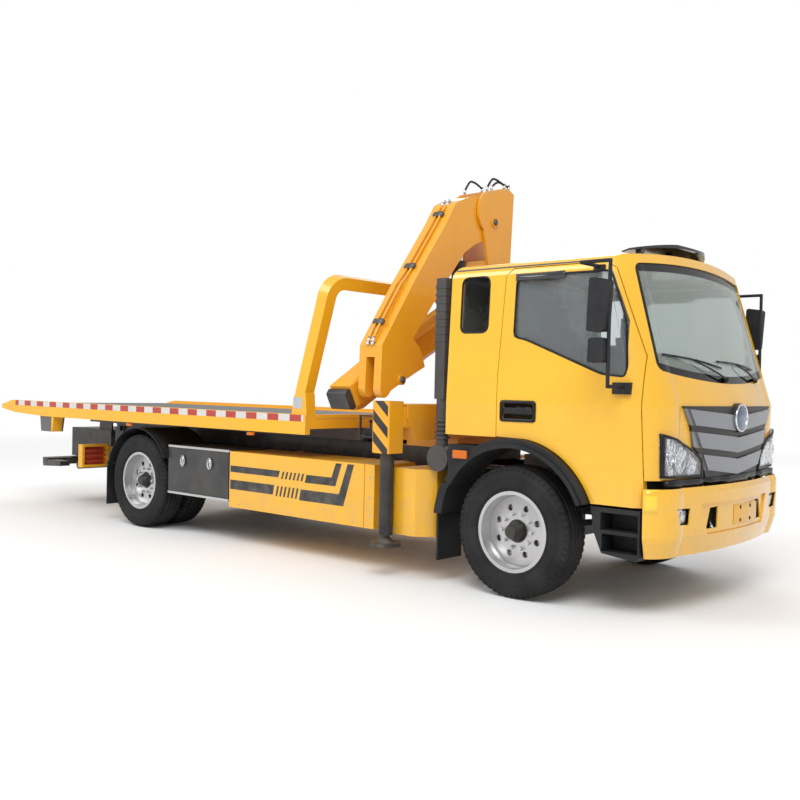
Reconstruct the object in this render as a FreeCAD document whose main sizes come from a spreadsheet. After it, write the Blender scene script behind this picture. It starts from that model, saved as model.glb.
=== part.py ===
"""Flatbed tow truck with a loader crane behind the cab.

Millimetres. X points forward, Y to the left, Z up from the ground. The origin is on the ground at the
middle of the truck's length. Every piece is drawn from the front axle, and its placement then moves it
forward by the distance from the origin to that axle.
"""

import FreeCAD, Part
import math
import os
import types

import Sketcher

doc = FreeCAD.newDocument("TowTruck")
sheet = doc.addObject("Spreadsheet::Sheet", "Dims")
V = FreeCAD.Vector
NODES = []


class Size:
    """A length or an angle: its number now, and the formula of sheet names that gives it."""

    def __init__(self, value, text):
        self.value = float(value)
        self.text = text

    def __add__(self, other):
        other = size(other)
        return Size(self.value + other.value, f"({self.text} + {other.text})")

    def __radd__(self, other):
        return size(other) + self

    def __sub__(self, other):
        other = size(other)
        return Size(self.value - other.value, f"({self.text} - {other.text})")

    def __rsub__(self, other):
        return size(other) - self

    def __mul__(self, other):
        other = size(other)
        return Size(self.value * other.value, f"({self.text} * {other.text})")

    def __rmul__(self, other):
        return size(other) * self

    def __truediv__(self, other):
        other = size(other)
        return Size(self.value / other.value, f"({self.text} / {other.text})")

    def __neg__(self):
        return Size(-self.value, f"(0 - {self.text})")


def size(v):
    return v if isinstance(v, Size) else Size(v, f"({v})")


def cosine(angle):
    return Size(math.cos(math.radians(angle.value)), f"cos({angle.text})")


D = types.SimpleNamespace()


def dims(**values):
    """Writes sizes into the sheet, one row each, and makes them readable as D.name."""
    for name, value in values.items():
        row = len(vars(D)) + 1
        sheet.set(f"A{row}", name)
        sheet.set(f"B{row}", str(value))
        sheet.setAlias(f"B{row}", name)
        setattr(D, name, Size(value, f"Dims.{name}"))


def bind(thing, prop, value):
    thing.setExpression(prop, size(value).text)


def place(thing, x, y, z, axis=None, angle=None):
    """Puts a piece at a point of the sheet, turned about an axis when one is given."""
    if axis is not None:
        thing.Placement = FreeCAD.Placement(V(0, 0, 0), FreeCAD.Rotation(axis, size(angle).value))
        bind(thing, "Placement.Rotation.Angle", angle)
    bind(thing, "Placement.Base.x", x)
    bind(thing, "Placement.Base.y", y)
    bind(thing, "Placement.Base.z", z)
    return thing


def node(thing, name, x=None, y=0, z=0):
    """Marks a finished piece: its label is the name of its file. It is placed from the front axle."""
    thing.Label = name
    if x is not None:
        place(thing, x, y, z)
    NODES.append(thing)
    return thing


def from_axle(thing, name):
    """Marks a piece that was drawn from the front axle."""
    return node(thing, name, D.front_axle)


def box(name, x, y, z):
    """A box between two values on each axis."""
    b = doc.addObject("Part::Box", name)
    bind(b, "Length", size(x[1]) - x[0])
    bind(b, "Width", size(y[1]) - y[0])
    bind(b, "Height", size(z[1]) - z[0])
    return place(b, x[0], y[0], z[0])


TURNS = {"X": (V(0, 1, 0), 90), "Y": (V(1, 0, 0), -90), "Z": (V(0, 0, 1), 0)}


def rod(name, axis, start, length, radius):
    """A round bar from a start point along a positive axis."""
    c = doc.addObject("Part::Cylinder", name)
    bind(c, "Radius", radius)
    bind(c, "Height", length)
    c.Placement = FreeCAD.Placement(V(0, 0, 0), FreeCAD.Rotation(*TURNS[axis]))
    return place(c, *start)


def tube(name, axis, start, length, radius, bore):
    """A round bar with a hole through it."""
    outer = rod(name + "_outer", axis, start, length, radius)
    inner = rod(name + "_bore", axis, start, length, bore)
    return cut(name, outer, inner)


def cut(name, base, *tools):
    """The base without the tools."""
    for i, tool in enumerate(tools):
        step = doc.addObject("Part::Cut", f"{name}_cut{i}")
        step.Base = base
        step.Tool = tool
        base = step
    return base


def fuse(name, *parts):
    joined = doc.addObject("Part::MultiFuse", name)
    joined.Shapes = list(parts)
    joined.Refine = True
    return joined


def group(name, *parts):
    """Like pieces that share a file and don't touch."""
    both = doc.addObject("Part::Compound", name)
    both.Links = list(parts)
    return both


def common(name, first, second):
    meet = doc.addObject("Part::Common", name)
    meet.Base = first
    meet.Tool = second
    return meet


def mirrored(name, source):
    """The same piece on the other side of the truck's middle plane."""
    other = doc.addObject("Part::Mirroring", name)
    other.Source = source
    other.Normal = V(0, 1, 0)
    return other


def pair(name, source):
    return group(name, source, mirrored(name + "_left", source))


def plane_of(body, which):
    for feature in body.Origin.OriginFeatures:
        if feature.Role == which + "_Plane":
            return feature
    raise ValueError(which)


def sketch_on(body, plane, offset=0, name="Outline"):
    sketch = body.newObject("Sketcher::SketchObject", name)
    sketch.AttachmentSupport = [(plane_of(body, plane), "")]
    sketch.MapMode = "FlatFace"
    bind(sketch, "AttachmentOffset.Base.z", offset)
    return sketch


def arc_between(start, end, radius):
    """The short arc between two points, turning anticlockwise; it bulges to the right of the way from
    start to end, or to the left of it with a negative radius."""
    if radius < 0:
        start, end = end, start
        radius = -radius
    chord = end - start
    reach = math.sqrt(radius * radius - chord.Length * chord.Length / 4)
    centre = (start + end) * 0.5 + V(-chord.y, chord.x, 0).normalize() * reach
    angles = [math.atan2((p - centre).y, (p - centre).x) for p in (start, end)]
    return Part.ArcOfCircle(Part.Circle(centre, V(0, 0, 1), radius), *angles)


def outline(sketch, points, arcs=None):
    """A closed outline through points. arcs gives, by the number of its first point, the radius of a
    side that is an arc: a positive radius bulges to the right of the way along the outline."""
    arcs = arcs or {}
    points = [(size(a), size(b)) for a, b in points]
    flat = [V(a.value, b.value, 0) for a, b in points]
    first = sketch.GeometryCount
    count = len(flat)
    swapped = [False] * count
    for i, start in enumerate(flat):
        end = flat[(i + 1) % count]
        if i in arcs:
            swapped[i] = size(arcs[i]).value < 0
            sketch.addGeometry(arc_between(start, end, size(arcs[i]).value), False)
        else:
            sketch.addGeometry(Part.LineSegment(start, end), False)
    for i in range(count):
        j = (i + 1) % count
        end_pos = 1 if swapped[i] else 2
        start_pos = 2 if swapped[j] else 1
        sketch.addConstraint(Sketcher.Constraint("Coincident", first + i, end_pos, first + j, start_pos))
    for i, (a, b) in enumerate(points):
        pos = 2 if swapped[i] else 1
        for kind, value in (("DistanceX", a), ("DistanceY", b)):
            c = sketch.addConstraint(Sketcher.Constraint(kind, -1, 1, first + i, pos, value.value))
            bind(sketch, f"Constraints[{c}]", value)
    for i, radius in arcs.items():
        radius = size(radius)
        text = radius if radius.value > 0 else -radius
        c = sketch.addConstraint(Sketcher.Constraint("Radius", first + i, text.value))
        bind(sketch, f"Constraints[{c}]", text)
    return sketch


def ring(sketch, centre, radius):
    """A full circle in a sketch."""
    a, b, r = size(centre[0]), size(centre[1]), size(radius)
    g = sketch.addGeometry(Part.Circle(V(a.value, b.value, 0), V(0, 0, 1), r.value), False)
    for kind, value in (("DistanceX", a), ("DistanceY", b)):
        c = sketch.addConstraint(Sketcher.Constraint(kind, -1, 1, g, 3, value.value))
        bind(sketch, f"Constraints[{c}]", value)
    c = sketch.addConstraint(Sketcher.Constraint("Radius", g, r.value))
    bind(sketch, f"Constraints[{c}]", r)


def prism(name, plane, points, span, arcs=None, holes=()):
    """An outline padded between two values of the axis square to its plane. On the XZ plane the
    outline's numbers are X and Z, on YZ they are Y and Z, and on XY they are X and Y."""
    body = doc.addObject("PartDesign::Body", name)
    low, high = size(span[0]), size(span[1])
    start = -high if plane == "XZ" else low
    sketch = sketch_on(body, plane, start)
    outline(sketch, points, arcs)
    for centre, radius in holes:
        ring(sketch, centre, radius)
    pad = body.newObject("PartDesign::Pad", name + "_pad")
    pad.Profile = sketch
    bind(pad, "Length", high - low)
    sketch.Visibility = False
    return body


def turned(name, points, arcs=None):
    """A profile of (distance along the axle, radius) turned about the Y axis."""
    body = doc.addObject("PartDesign::Body", name)
    sketch = sketch_on(body, "YZ")
    outline(sketch, points, arcs)
    turn = body.newObject("PartDesign::Revolution", name + "_turn")
    turn.Profile = sketch
    turn.ReferenceAxis = (sketch, ["H_Axis"])
    turn.Angle = 360
    return body


def round_edges(body, radius, pick):
    """Fillets those edges of a body that pick accepts."""
    doc.recompute()
    tip = body.Tip
    names = [f"Edge{i}" for i, e in enumerate(tip.Shape.Edges, 1) if pick(e)]
    fillet = body.newObject("PartDesign::Fillet", body.Name + "_round")
    fillet.Base = (tip, names)
    bind(fillet, "Radius", radius)
    return body


def runs_along(axis):
    """Accepts straight edges along an axis."""
    def pick(edge):
        if edge.Curve.TypeId != "Part::GeomLine":
            return False
        return abs(abs(edge.Curve.Direction.dot(axis)) - 1) < 1e-6
    return pick


def loft(name, sections):
    """A ruled body through outlines at several heights: each is (height, points, arcs)."""
    body = doc.addObject("PartDesign::Body", name)
    sketches = []
    for height, points, arcs in sections:
        sketches.append(outline(sketch_on(body, "XY", height), points, arcs))
    skin = body.newObject("PartDesign::AdditiveLoft", name + "_loft")
    skin.Profile = sketches[0]
    skin.Sections = sketches[1:]
    skin.Ruled = True
    return body


# The truck as a whole. Every x in this list is counted from the front axle.
dims(front_axle=3227.5, wheelbase=4735)

# Tyres and rims
dims(tyre_radius=490, tyre_width=272, rim_radius=286, rim_width=236, rim_lip=13, rim_wall=9)
dims(front_wheel_y=1002, rear_wheel_y=1047, twin_spacing=312, hub_radius=86, stud_circle=130)
dims(hand_hole=24, hand_circle=182, disc_wall=14, front_dish=78, rear_dish=92)
dims(drum_radius=198, drum_depth=120, seat=0.3)

# Axles, knuckles and springs
dims(kingpin_y=800, kingpin_radius=22, kingpin_boss=34, fork_reach=42, fork_thick=24, spindle_radius=38)
dims(beam_drop=70, beam_height=92, beam_width=84)
dims(spring_y=465, spring_width=76, front_spring=1300, rear_spring=1400, leaf=14)
dims(rear_tube=62, diff_radius=205, nose_length=350)

# Chassis frame
dims(rail_y=430, rail_flange=70, rail_height=240, rail_wall=8, rail_top=900, rail_front=1060)
dims(rail_rear=-6380, member_height=150, sub_height=118, sub_front=-980)
dims(hinge_x=1165, hinge_z=850, hinge_pin=12, hinge_eye=20, pin_gap=0.05)
dims(pivot_x=-6230, pivot_z=962, pivot_pin=32)


def tyre(name, centre):
    """One tyre about the axle line, its middle at a distance along the axle."""
    half = D.tyre_width / 2
    bead = D.rim_width / 2 - D.rim_lip - D.seat
    crown = D.tyre_radius
    shoulder = D.tyre_radius - 16
    points = [
        (centre - bead, D.rim_radius + D.seat),
        (centre + bead, D.rim_radius + D.seat),
        (centre + bead, D.rim_radius + 16),
        (centre + half - 6, D.rim_radius + 40),
        (centre + half - 14, shoulder - 14),
        (centre + half - 40, crown - 4),
        (centre, crown),
        (centre - half + 40, crown - 4),
        (centre - half + 14, shoulder - 14),
        (centre - half + 6, D.rim_radius + 40),
        (centre - bead, D.rim_radius + 16),
    ]
    return turned(name, points, {3: 260, 8: 260})


def rim(name, centre, side, dish):
    """One rim: its barrel with two lips, and a disc whose face lies a dish behind the outer lip. side
    is 1 when the outer lip is at the greater distance along the axle."""
    half = D.rim_width / 2
    outer = D.rim_radius
    lip = D.rim_radius + 14
    well = D.rim_radius - 22
    points = [
        (centre - half, outer - 12),
        (centre - half, lip),
        (centre - half + D.rim_lip, lip),
        (centre - half + D.rim_lip, outer),
        (centre - half + 50, outer - 4),
        (centre, well),
        (centre + half - 50, outer - 4),
        (centre + half - D.rim_lip, outer),
        (centre + half - D.rim_lip, lip),
        (centre + half, lip),
        (centre + half, outer - 12),
        (centre + half - 60, outer - 16),
        (centre, well - D.rim_wall),
        (centre - half + 60, outer - 16),
    ]
    barrel = turned(name + "_barrel", points)
    face = centre + side * (half - dish)
    back = face - side * D.disc_wall
    edge = well - D.rim_wall / 2
    bend = D.hand_circle - D.hand_hole - 14
    foot = centre + side * 10
    disc_points = [
        (back, D.hub_radius - 30),
        (face, D.hub_radius - 30),
        (face, bend),
        (foot + side * D.disc_wall, edge),
        (foot, edge),
        (back, bend),
    ]
    disc = turned(name + "_disc", disc_points)
    holes = []
    for i in range(8):
        angle = math.radians(45 * i + 22.5)
        start = D.hand_circle * math.cos(angle), centre - half, D.hand_circle * math.sin(angle)
        holes.append(rod(f"{name}_hand{i}", "Y", start, D.rim_width, D.hand_hole))
    pierced = cut(name + "_pierced", disc, group(name + "_hands", *holes))
    return fuse(name + "_rim", barrel, pierced)


def hub(name, start, end, side):
    """The hub's turned nose with its ring of studs, between two distances along the axle."""
    body = turned(name, [
        (start, 0), (start, D.hub_radius + 62), (start + side * 26, D.hub_radius + 62),
        (start + side * 26, D.hub_radius - 14), (end - side * 34, D.hub_radius - 24),
        (end, D.hub_radius - 40), (end, 0),
    ])
    return body


def studs(name, start, length):
    """Ten wheel nuts round the hub."""
    nuts = []
    for i in range(10):
        angle = math.radians(36 * i)
        at = D.stud_circle * math.cos(angle), start, D.stud_circle * math.sin(angle)
        nuts.append(rod(f"{name}{i}", "Y", at, length, 15))
    return nuts


def front_wheels():
    for side, name in ((1, "L"), (-1, "R")):
        centre = size(0)
        face = side * (D.rim_width / 2 - D.front_dish)
        back = face - side * D.disc_wall
        inner = back - side * 26
        low = face if side > 0 else face - 30
        drum_end = inner - side * D.drum_depth
        drum = turned("front_drum_" + name, [
            (inner + side * 2, D.hub_radius), (inner + side * 2, D.drum_radius),
            (drum_end, D.drum_radius), (drum_end, D.drum_radius - 14),
            (inner - side * 12, D.drum_radius - 14), (inner - side * 12, D.hub_radius),
        ])
        nose = hub("front_hub_" + name, inner, face + side * 96, side)
        stop = face + side * 40
        bore = rod("front_bearing_" + name, "Y", (0, stop - D.rim_width if side > 0 else stop, 0), D.rim_width,
                   D.spindle_radius + D.pin_gap)
        parts = [rim("front_" + name, centre, side, D.front_dish), nose, drum]
        parts += studs("front_nut_" + name, low, size(30))
        whole = cut("front_rim_" + name, fuse("front_wheel_" + name, *parts), bore)
        y = side * D.front_wheel_y
        node(whole, "rim_front_" + name, D.front_axle, y, D.tyre_radius)
        node(tyre("front_tyre_" + name, centre), "tyre_front_" + name, D.front_axle, y, D.tyre_radius)


def rear_wheels():
    for side, name in ((1, "L"), (-1, "R")):
        outer_tyre = size(0)
        inner_tyre = -side * D.twin_spacing
        face = side * (D.rim_width / 2 - D.rear_dish)
        outer_rim = rim("rear_out_" + name, outer_tyre, side, D.rear_dish)
        inner_rim = rim("rear_in_" + name, inner_tyre, -side, D.rear_dish)
        inner_face = inner_tyre - side * (D.rim_width / 2 - D.rear_dish)
        spacer = turned("rear_spacer_" + name, [
            (inner_face + side * 2, D.hub_radius - 30), (inner_face + side * 2, D.stud_circle + 24),
            (face - side * 2, D.stud_circle + 24), (face - side * 2, D.hub_radius - 30),
        ])
        nose = hub("rear_hub_" + name, face - side * 30, face + side * 74, side)
        low = face if side > 0 else face - 30
        parts = [outer_rim, inner_rim, spacer, nose] + studs("rear_nut_" + name, low, size(30))
        whole = fuse("rear_wheel_" + name, *parts)
        reach = D.twin_spacing * 2
        hole = rod("rear_bearing_" + name, "Y", (0, face - reach - 30 if side > 0 else face + 30, 0), reach,
                   D.rear_tube + D.pin_gap)
        whole = cut("rear_rims_" + name, whole, hole)
        x = D.front_axle - D.wheelbase
        y = side * D.rear_wheel_y
        node(whole, "rims_rear_" + name, x, y, D.tyre_radius)
        tyres = group("rear_tyres_" + name, tyre("rear_tyre_out_" + name, outer_tyre),
                      tyre("rear_tyre_in_" + name, inner_tyre))
        node(tyres, "tyres_rear_" + name, x, y, D.tyre_radius)


def knuckles():
    """The steered knuckle: a fork round the kingpin, the spindle, and the fixed brake plate."""
    for side, name in ((1, "L"), (-1, "R")):
        y = D.kingpin_y * side
        z = D.tyre_radius
        pin_half = D.beam_height / 2 + 46
        post = D.kingpin_y + D.fork_reach
        outer = post + D.fork_thick
        spindle_end = D.front_wheel_y + D.rim_width / 2 - D.front_dish + 36
        arm_top = box("knuckle_top_" + name, (-34, 34), sorted_span(side, D.kingpin_y - 34, outer),
                      (z + D.beam_height / 2 + 2, z + pin_half))
        arm_low = box("knuckle_low_" + name, (-34, 34), sorted_span(side, D.kingpin_y - 34, outer),
                      (z - pin_half, z - D.beam_height / 2 - 2))
        block = box("knuckle_block_" + name, (-34, 34), sorted_span(side, post, outer),
                    (z - pin_half, z + pin_half))
        pin = rod("kingpin_" + name, "Z", (0, y, z - pin_half - 8), pin_half * 2 + 16, D.kingpin_radius)
        start = post + 4 if side > 0 else -spindle_end
        spindle = rod("spindle_" + name, "Y", (0, start, z), spindle_end - post - 4, D.spindle_radius)
        plate_y = post + 14
        plate_low = plate_y if side > 0 else -plate_y - 8
        plate = rod("brake_plate_" + name, "Y", (0, plate_low, z), size(8), D.drum_radius - 16)
        lever = box("steer_lever_" + name, (-190, 0), sorted_span(side, D.kingpin_y - 20, outer),
                    (z - pin_half, z - pin_half + 22))
        whole = fuse("knuckle_parts_" + name, arm_top, arm_low, block, pin, spindle, plate, lever)
        from_axle(whole, "knuckle_" + name)


def sorted_span(side, near, far):
    """A span between two distances from the middle, on the side that is asked for."""
    near, far = size(near), size(far)
    return (near, far) if side > 0 else (-far, -near)


def leaf_pack(name, x, y, length, z_axle, camber):
    """A curved pack of leaves that sits on the axle and rises to both ends."""
    thick = D.leaf * 4
    half = length / 2
    return prism(name, "XZ", [
        (x - half, z_axle + camber), (x - half, z_axle + camber - D.leaf),
        (x - 90, z_axle), (x + 90, z_axle),
        (x + half, z_axle + camber - D.leaf), (x + half, z_axle + camber),
        (x + 60, z_axle + thick), (x - 60, z_axle + thick),
    ], (y - D.spring_width / 2, y + D.spring_width / 2))


def front_axle():
    """A dropped beam between the kingpins, with the leaf springs that hold it to the rails."""
    z = D.tyre_radius
    half = D.beam_height / 2
    end = D.kingpin_y
    seat = D.spring_y + D.spring_width / 2 + 30
    beam = prism("axle_beam", "YZ", [
        (-end, z - half), (-seat - 90, z - half), (-seat, z - half - D.beam_drop),
        (seat, z - half - D.beam_drop), (seat + 90, z - half), (end, z - half),
        (end, z + half), (seat + 90, z + half), (seat, z + half - D.beam_drop),
        (-seat, z + half - D.beam_drop), (-seat - 90, z + half), (-end, z + half),
    ], (-D.beam_width / 2, D.beam_width / 2))
    bosses = [rod(f"kingpin_boss{i}", "Z", (0, D.kingpin_y * s, z - half), D.beam_height, D.kingpin_boss)
              for i, s in enumerate((1, -1))]
    eyes = [rod(f"kingpin_eye{i}", "Z", (0, D.kingpin_y * s, z - half - 1), D.beam_height + 2,
                D.kingpin_radius + D.pin_gap) for i, s in enumerate((1, -1))]
    seat_z = z + half - D.beam_drop
    springs = []
    for i, s in enumerate((1, -1)):
        springs.append(leaf_pack(f"front_leaves{i}", size(0), D.spring_y * s, D.front_spring, seat_z,
                                 size(150)))
        for j, e in enumerate((1, -1)):
            x = e * (D.front_spring / 2 - 24)
            y = sorted_span(s, D.rail_y, D.spring_y + D.spring_width / 2 + 6)
            springs.append(box(f"front_hanger{i}{j}", (x - 34, x + 34), y, (seat_z + 110, D.rail_top - 60)))
    whole = fuse("front_axle_parts", cut("axle_beam_bored", fuse("axle_beam_bossed", beam, *bosses), *eyes), *springs)
    from_axle(whole, "front_axle")


def rear_axle():
    """A tube with a round gear case, on its leaf springs."""
    z = D.tyre_radius
    x = -D.wheelbase
    end = D.rear_wheel_y - 6
    tube_body = rod("rear_axle_tube", "Y", (x, -end, z), end * 2, D.rear_tube)
    case = doc.addObject("Part::Sphere", "gear_case")
    bind(case, "Radius", D.diff_radius)
    place(case, x, 0, z)
    nose = doc.addObject("Part::Cone", "gear_case_nose")
    bind(nose, "Radius1", D.diff_radius * 0.62)
    bind(nose, "Radius2", D.diff_radius * 0.36)
    bind(nose, "Height", D.nose_length)
    nose.Placement = FreeCAD.Placement(V(0, 0, 0), FreeCAD.Rotation(V(0, 1, 0), 90))
    place(nose, x, 0, z)
    seat_z = z + D.rear_tube - 6
    springs = []
    for i, s in enumerate((1, -1)):
        springs.append(leaf_pack(f"rear_leaves{i}", x, D.spring_y * s, D.rear_spring, seat_z, size(112)))
        for j, e in enumerate((1, -1)):
            at = x + e * (D.rear_spring / 2 - 24)
            y = sorted_span(s, D.rail_y, D.spring_y + D.spring_width / 2 + 6)
            springs.append(box(f"rear_hanger{i}{j}", (at - 34, at + 34), y, (seat_z + 84, D.rail_top - 50)))
    whole = fuse("rear_axle_parts", tube_body, case, nose, *springs)
    from_axle(whole, "rear_axle")


def rail(name, side, x_span, bottom, top):
    """A channel rail that opens towards the middle of the truck."""
    outer = D.rail_y
    flange = D.rail_y - D.rail_flange
    web = D.rail_y - D.rail_wall
    points = [
        (outer * side, bottom), (outer * side, top), (flange * side, top),
        (flange * side, top - D.rail_wall), (web * side, top - D.rail_wall),
        (web * side, bottom + D.rail_wall), (flange * side, bottom + D.rail_wall),
        (flange * side, bottom),
    ]
    return prism(name, "YZ", points, x_span)


def cross_member(name, x, width):
    middle = D.rail_top - D.rail_height / 2
    web = D.rail_y - D.rail_wall
    return box(name, (x - width / 2, x + width / 2), (-web, web),
               (middle - D.member_height / 2, middle + D.member_height / 2))


def chassis_frame():
    """Two channel rails with cross members, and the pin at the front that the cab tilts on."""
    bottom = D.rail_top - D.rail_height
    rails = [rail(f"rail{i}", s, (D.rail_rear, D.rail_front), bottom, D.rail_top)
             for i, s in enumerate((1, -1))]
    members = []
    places = (D.rail_front - 60, size(-1250), size(-2100), size(-2950), size(-4320), size(-5500), D.rail_rear + 60)
    for i, x in enumerate(places):
        members.append(cross_member(f"member{i}", x, size(70)))
    arms = []
    for i, s in enumerate((1, -1)):
        y = sorted_span(s, D.rail_y - 90, D.rail_y - D.rail_wall)
        arms.append(prism(f"hinge_arm{i}", "XZ", [
            (D.rail_front - 120, D.rail_top - 60), (D.rail_front - 120, D.rail_top - 200),
            (D.hinge_x + 6, D.hinge_z - 20), (D.hinge_x + 20, D.hinge_z), (D.hinge_x, D.hinge_z + 20),
        ], y))
    pin = rod("cab_pin", "Y", (D.hinge_x, -D.rail_y - 60, D.hinge_z), D.rail_y * 2 + 120, D.hinge_pin)
    web = D.rail_y - D.rail_wall
    shaft = rod("ram_shaft", "Y", (D.ram_x, -web, D.ram_z), web * 2, D.ram_pin)
    whole = fuse("chassis_parts", *rails, *members, *arms, pin, shaft)
    from_axle(whole, "chassis_frame")


def sub_frame():
    """Box beams on the rails that carry the bed and the crane, with the rear pivot pin."""
    low, high = D.rail_top, D.rail_top + D.sub_height
    beams = []
    for i, s in enumerate((1, -1)):
        y = sorted_span(s, D.rail_y - D.rail_flange, D.rail_y)
        beams.append(prism(f"sub_beam{i}", "XZ", [
            (D.rail_rear, low), (D.sub_front, low), (D.sub_front, high), (D.pivot_x + 20, high),
            (D.rail_rear, high - 48),
        ], y))
    inner = D.rail_y - D.rail_flange
    ties = [box(f"sub_tie{i}", (x - 40, x + 40), (-inner, inner), (low + 10, high - 20))
            for i, x in enumerate((D.sub_front - 40, size(-2000), size(-4600)))]
    pin = rod("pivot_pin_rod", "Y", (D.pivot_x, -D.rail_y - 50, D.pivot_z), D.rail_y * 2 + 100, D.pivot_pin)
    whole = fuse("sub_frame_parts", *beams, *ties, pin)
    from_axle(whole, "sub_frame")


dims(engine_front=560, engine_rear=-420, engine_half=330, engine_low=560, engine_top=1010)
dims(shaft_radius=52, gearbox_rear=-1150)


def engine_and_shaft():
    """The engine as one block, and the gear box with the shaft back to the rear axle."""
    web = D.rail_y - D.rail_flange - 15
    block = box("engine", (D.engine_rear, D.engine_front), (-web, web), (D.engine_low + 60, D.engine_top))
    sump = box("engine_sump", (D.engine_rear + 80, D.engine_front - 220), (-web + 90, web - 90),
               (D.engine_low, D.engine_low + 61))
    mounts = []
    for i, s in enumerate((1, -1)):
        y = sorted_span(s, web - 1, D.rail_y - D.rail_wall - D.seat)
        mounts += [box(f"engine_mount{i}{j}", (x, x + 80), y, (D.rail_top - 190, D.rail_top - 130))
                   for j, x in enumerate((D.engine_rear + 110, D.engine_front - 170))]
    from_axle(fuse("engine_whole", block, sump, *mounts), "engine_block")
    z = D.tyre_radius + 115
    case = doc.addObject("Part::Cone", "gearbox_case")
    bind(case, "Radius1", D.engine_half * 0.3)
    bind(case, "Radius2", D.engine_half * 0.62)
    bind(case, "Height", D.engine_rear - D.gearbox_rear - D.seat)
    case.Placement = FreeCAD.Placement(V(0, 0, 0), FreeCAD.Rotation(V(0, 1, 0), 90))
    place(case, D.gearbox_rear, 0, z + 40)
    start = V(D.gearbox_rear.value + 20, 0, z.value + 40)
    end = V(-D.wheelbase.value + D.nose_length.value + 3.5, 0, D.tyre_radius.value)
    shaft = doc.addObject("Part::Feature", "drive_tube")
    shaft.Shape = Part.makeCylinder(D.shaft_radius.value, (start - end).Length, end, start - end)
    whole = fuse("drive_line", case, shaft)
    from_axle(whole, "drive_shaft")


# The cab. Its front is bowed in plan, leans back above the grille and draws in towards the roof.
dims(cab_rear=-650, cab_half=1105, cab_wall=42, door_gap=6, cab_low=755, cab_rear_low=1180, floor_top=1125)
dims(floor_thick=46, roof_side=2486, roof_crown=2546, roof_half=1052, roof_round=92, rear_round=110)
dims(belt_z=1440, belt_front=1140, belt_bow=4700, low_front=1112, top_front=806, corner_y=790)
dims(corner_side=955, corner_radius=300, top_corner_y=800, top_side=640, nose_low=945)
dims(arch_radius=694, arch_z=486, tunnel_half=345, tunnel_top=1230)
dims(door_rear_low=-172, door_rear_top=-140, door_front_low=1027, door_front_belt=985, door_top=2440)
dims(door_front_top=738, glass=5, glass_inset=14, door_hinge_x=960, door_hinge_y=1080, door_pin=6)
dims(screen_low_half=945, screen_low=1690, screen_high_half=908, screen_high=2433, screen_round=60)


def plan_points(front, side_x, half, front_y, rear):
    """A plan outline from the rear right corner round the front to the rear left corner."""
    return [(rear, -half), (side_x, -half), (front, -front_y), (front, front_y), (side_x, half), (rear, half)]


def cab_form(name, inset):
    """The cab's outer form, or the same form moved inwards by an inset."""
    bows = {1: D.corner_radius - inset, 2: D.belt_bow - inset, 3: D.corner_radius - inset}
    rear = D.cab_rear + inset
    low = plan_points(D.low_front - inset, D.corner_side, D.cab_half - inset, D.corner_y, rear)
    belt = plan_points(D.belt_front - inset, D.corner_side, D.cab_half - inset, D.corner_y, rear)
    top = plan_points(D.top_front - inset, D.top_side, D.roof_half - inset, D.top_corner_y, rear)
    roof = D.roof_crown + 20
    body = loft(name + "_plan", [
        (D.cab_low - 60, low, bows), (D.belt_z, belt, bows), (roof, top, bows),
    ])
    half = D.cab_half + 60
    eave = D.roof_half - 30 - inset
    front_view = prism(name + "_front_view", "YZ", [
        (-half, D.cab_low - 60), (half, D.cab_low - 60), (half, D.roof_side - D.roof_round - inset * 2),
        (D.roof_half + 6 - inset, D.roof_side - D.roof_round - inset), (eave - 50, D.roof_side - inset + 4),
        (-eave + 50, D.roof_side - inset + 4), (-D.roof_half - 6 + inset, D.roof_side - D.roof_round - inset),
        (-half, D.roof_side - D.roof_round - inset * 2),
    ], (D.cab_rear - 60, D.belt_front + 200), {3: D.roof_round + 30, 4: 9000, 5: D.roof_round + 30})
    side_view = prism(name + "_side_view", "XZ", [
        (rear, D.cab_low - 60), (D.belt_front + 200, D.cab_low - 60), (D.belt_front + 200, roof + 40),
        (rear + D.rear_round, roof - 40 - inset), (rear, D.roof_side - D.rear_round - inset),
    ], (-half, half), {3: D.rear_round * 1.25})
    return common(name, common(name + "_half", body, front_view), side_view)


def door_outline(gap):
    """The door's side outline, drawn in from the opening by a gap. It runs from the rear lower corner."""
    return [
        (D.door_rear_low + gap, D.cab_rear_low + gap), (D.door_rear_low - 4 + gap, 1640),
        (D.door_rear_top + gap, D.door_top - 60), (D.door_rear_top + 60 + gap, D.door_top - gap),
        (D.door_front_top - 40 - gap, D.door_top - gap), (D.door_front_top + 20 - gap, D.door_top - 50),
        (D.door_front_belt - gap, 1780), (D.door_front_low - gap, D.cab_low + gap),
        (D.arch_foot + gap, D.cab_low + gap), (D.arch_knee + gap, D.arch_knee_z + gap),
    ]


dims(door_arch=691, arch_foot=636, arch_knee=83, arch_knee_z=1172)


def screen_outline(gap):
    """The windscreen's front outline, drawn in by a gap: its foot is bowed down, its head a little up."""
    half, low = D.screen_low_half - gap, D.screen_low + gap
    top_half, top = D.screen_high_half - gap, D.screen_high - gap
    form = prism("screen" + str(size(gap).value).replace(".", "_"), "YZ", [
        (-half, low), (half, low), (top_half, top), (-top_half, top),
    ], (560, D.belt_front + 300), {0: 5900, 2: 9350})
    return round_edges(form, D.screen_round - gap, runs_along(V(1, 0, 0)))


def quarter_outline(gap):
    """The fixed side window behind the door, with rounded corners."""
    low, high = 1965 + size(gap), 2388 - size(gap)
    rear, front = -545 + size(gap), -285 - size(gap)
    half = D.cab_half + 200
    return prism("quarter" + str(size(gap).value).replace(".", "_"), "XZ", [
        (rear, low + 45), (rear + 45, low), (front - 45, low), (front, low + 45),
        (front, high - 45), (front - 45, high), (rear + 45, high), (rear, high - 45),
    ], (-half, half), {0: 46, 2: 46, 4: 46, 6: 46})


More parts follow.
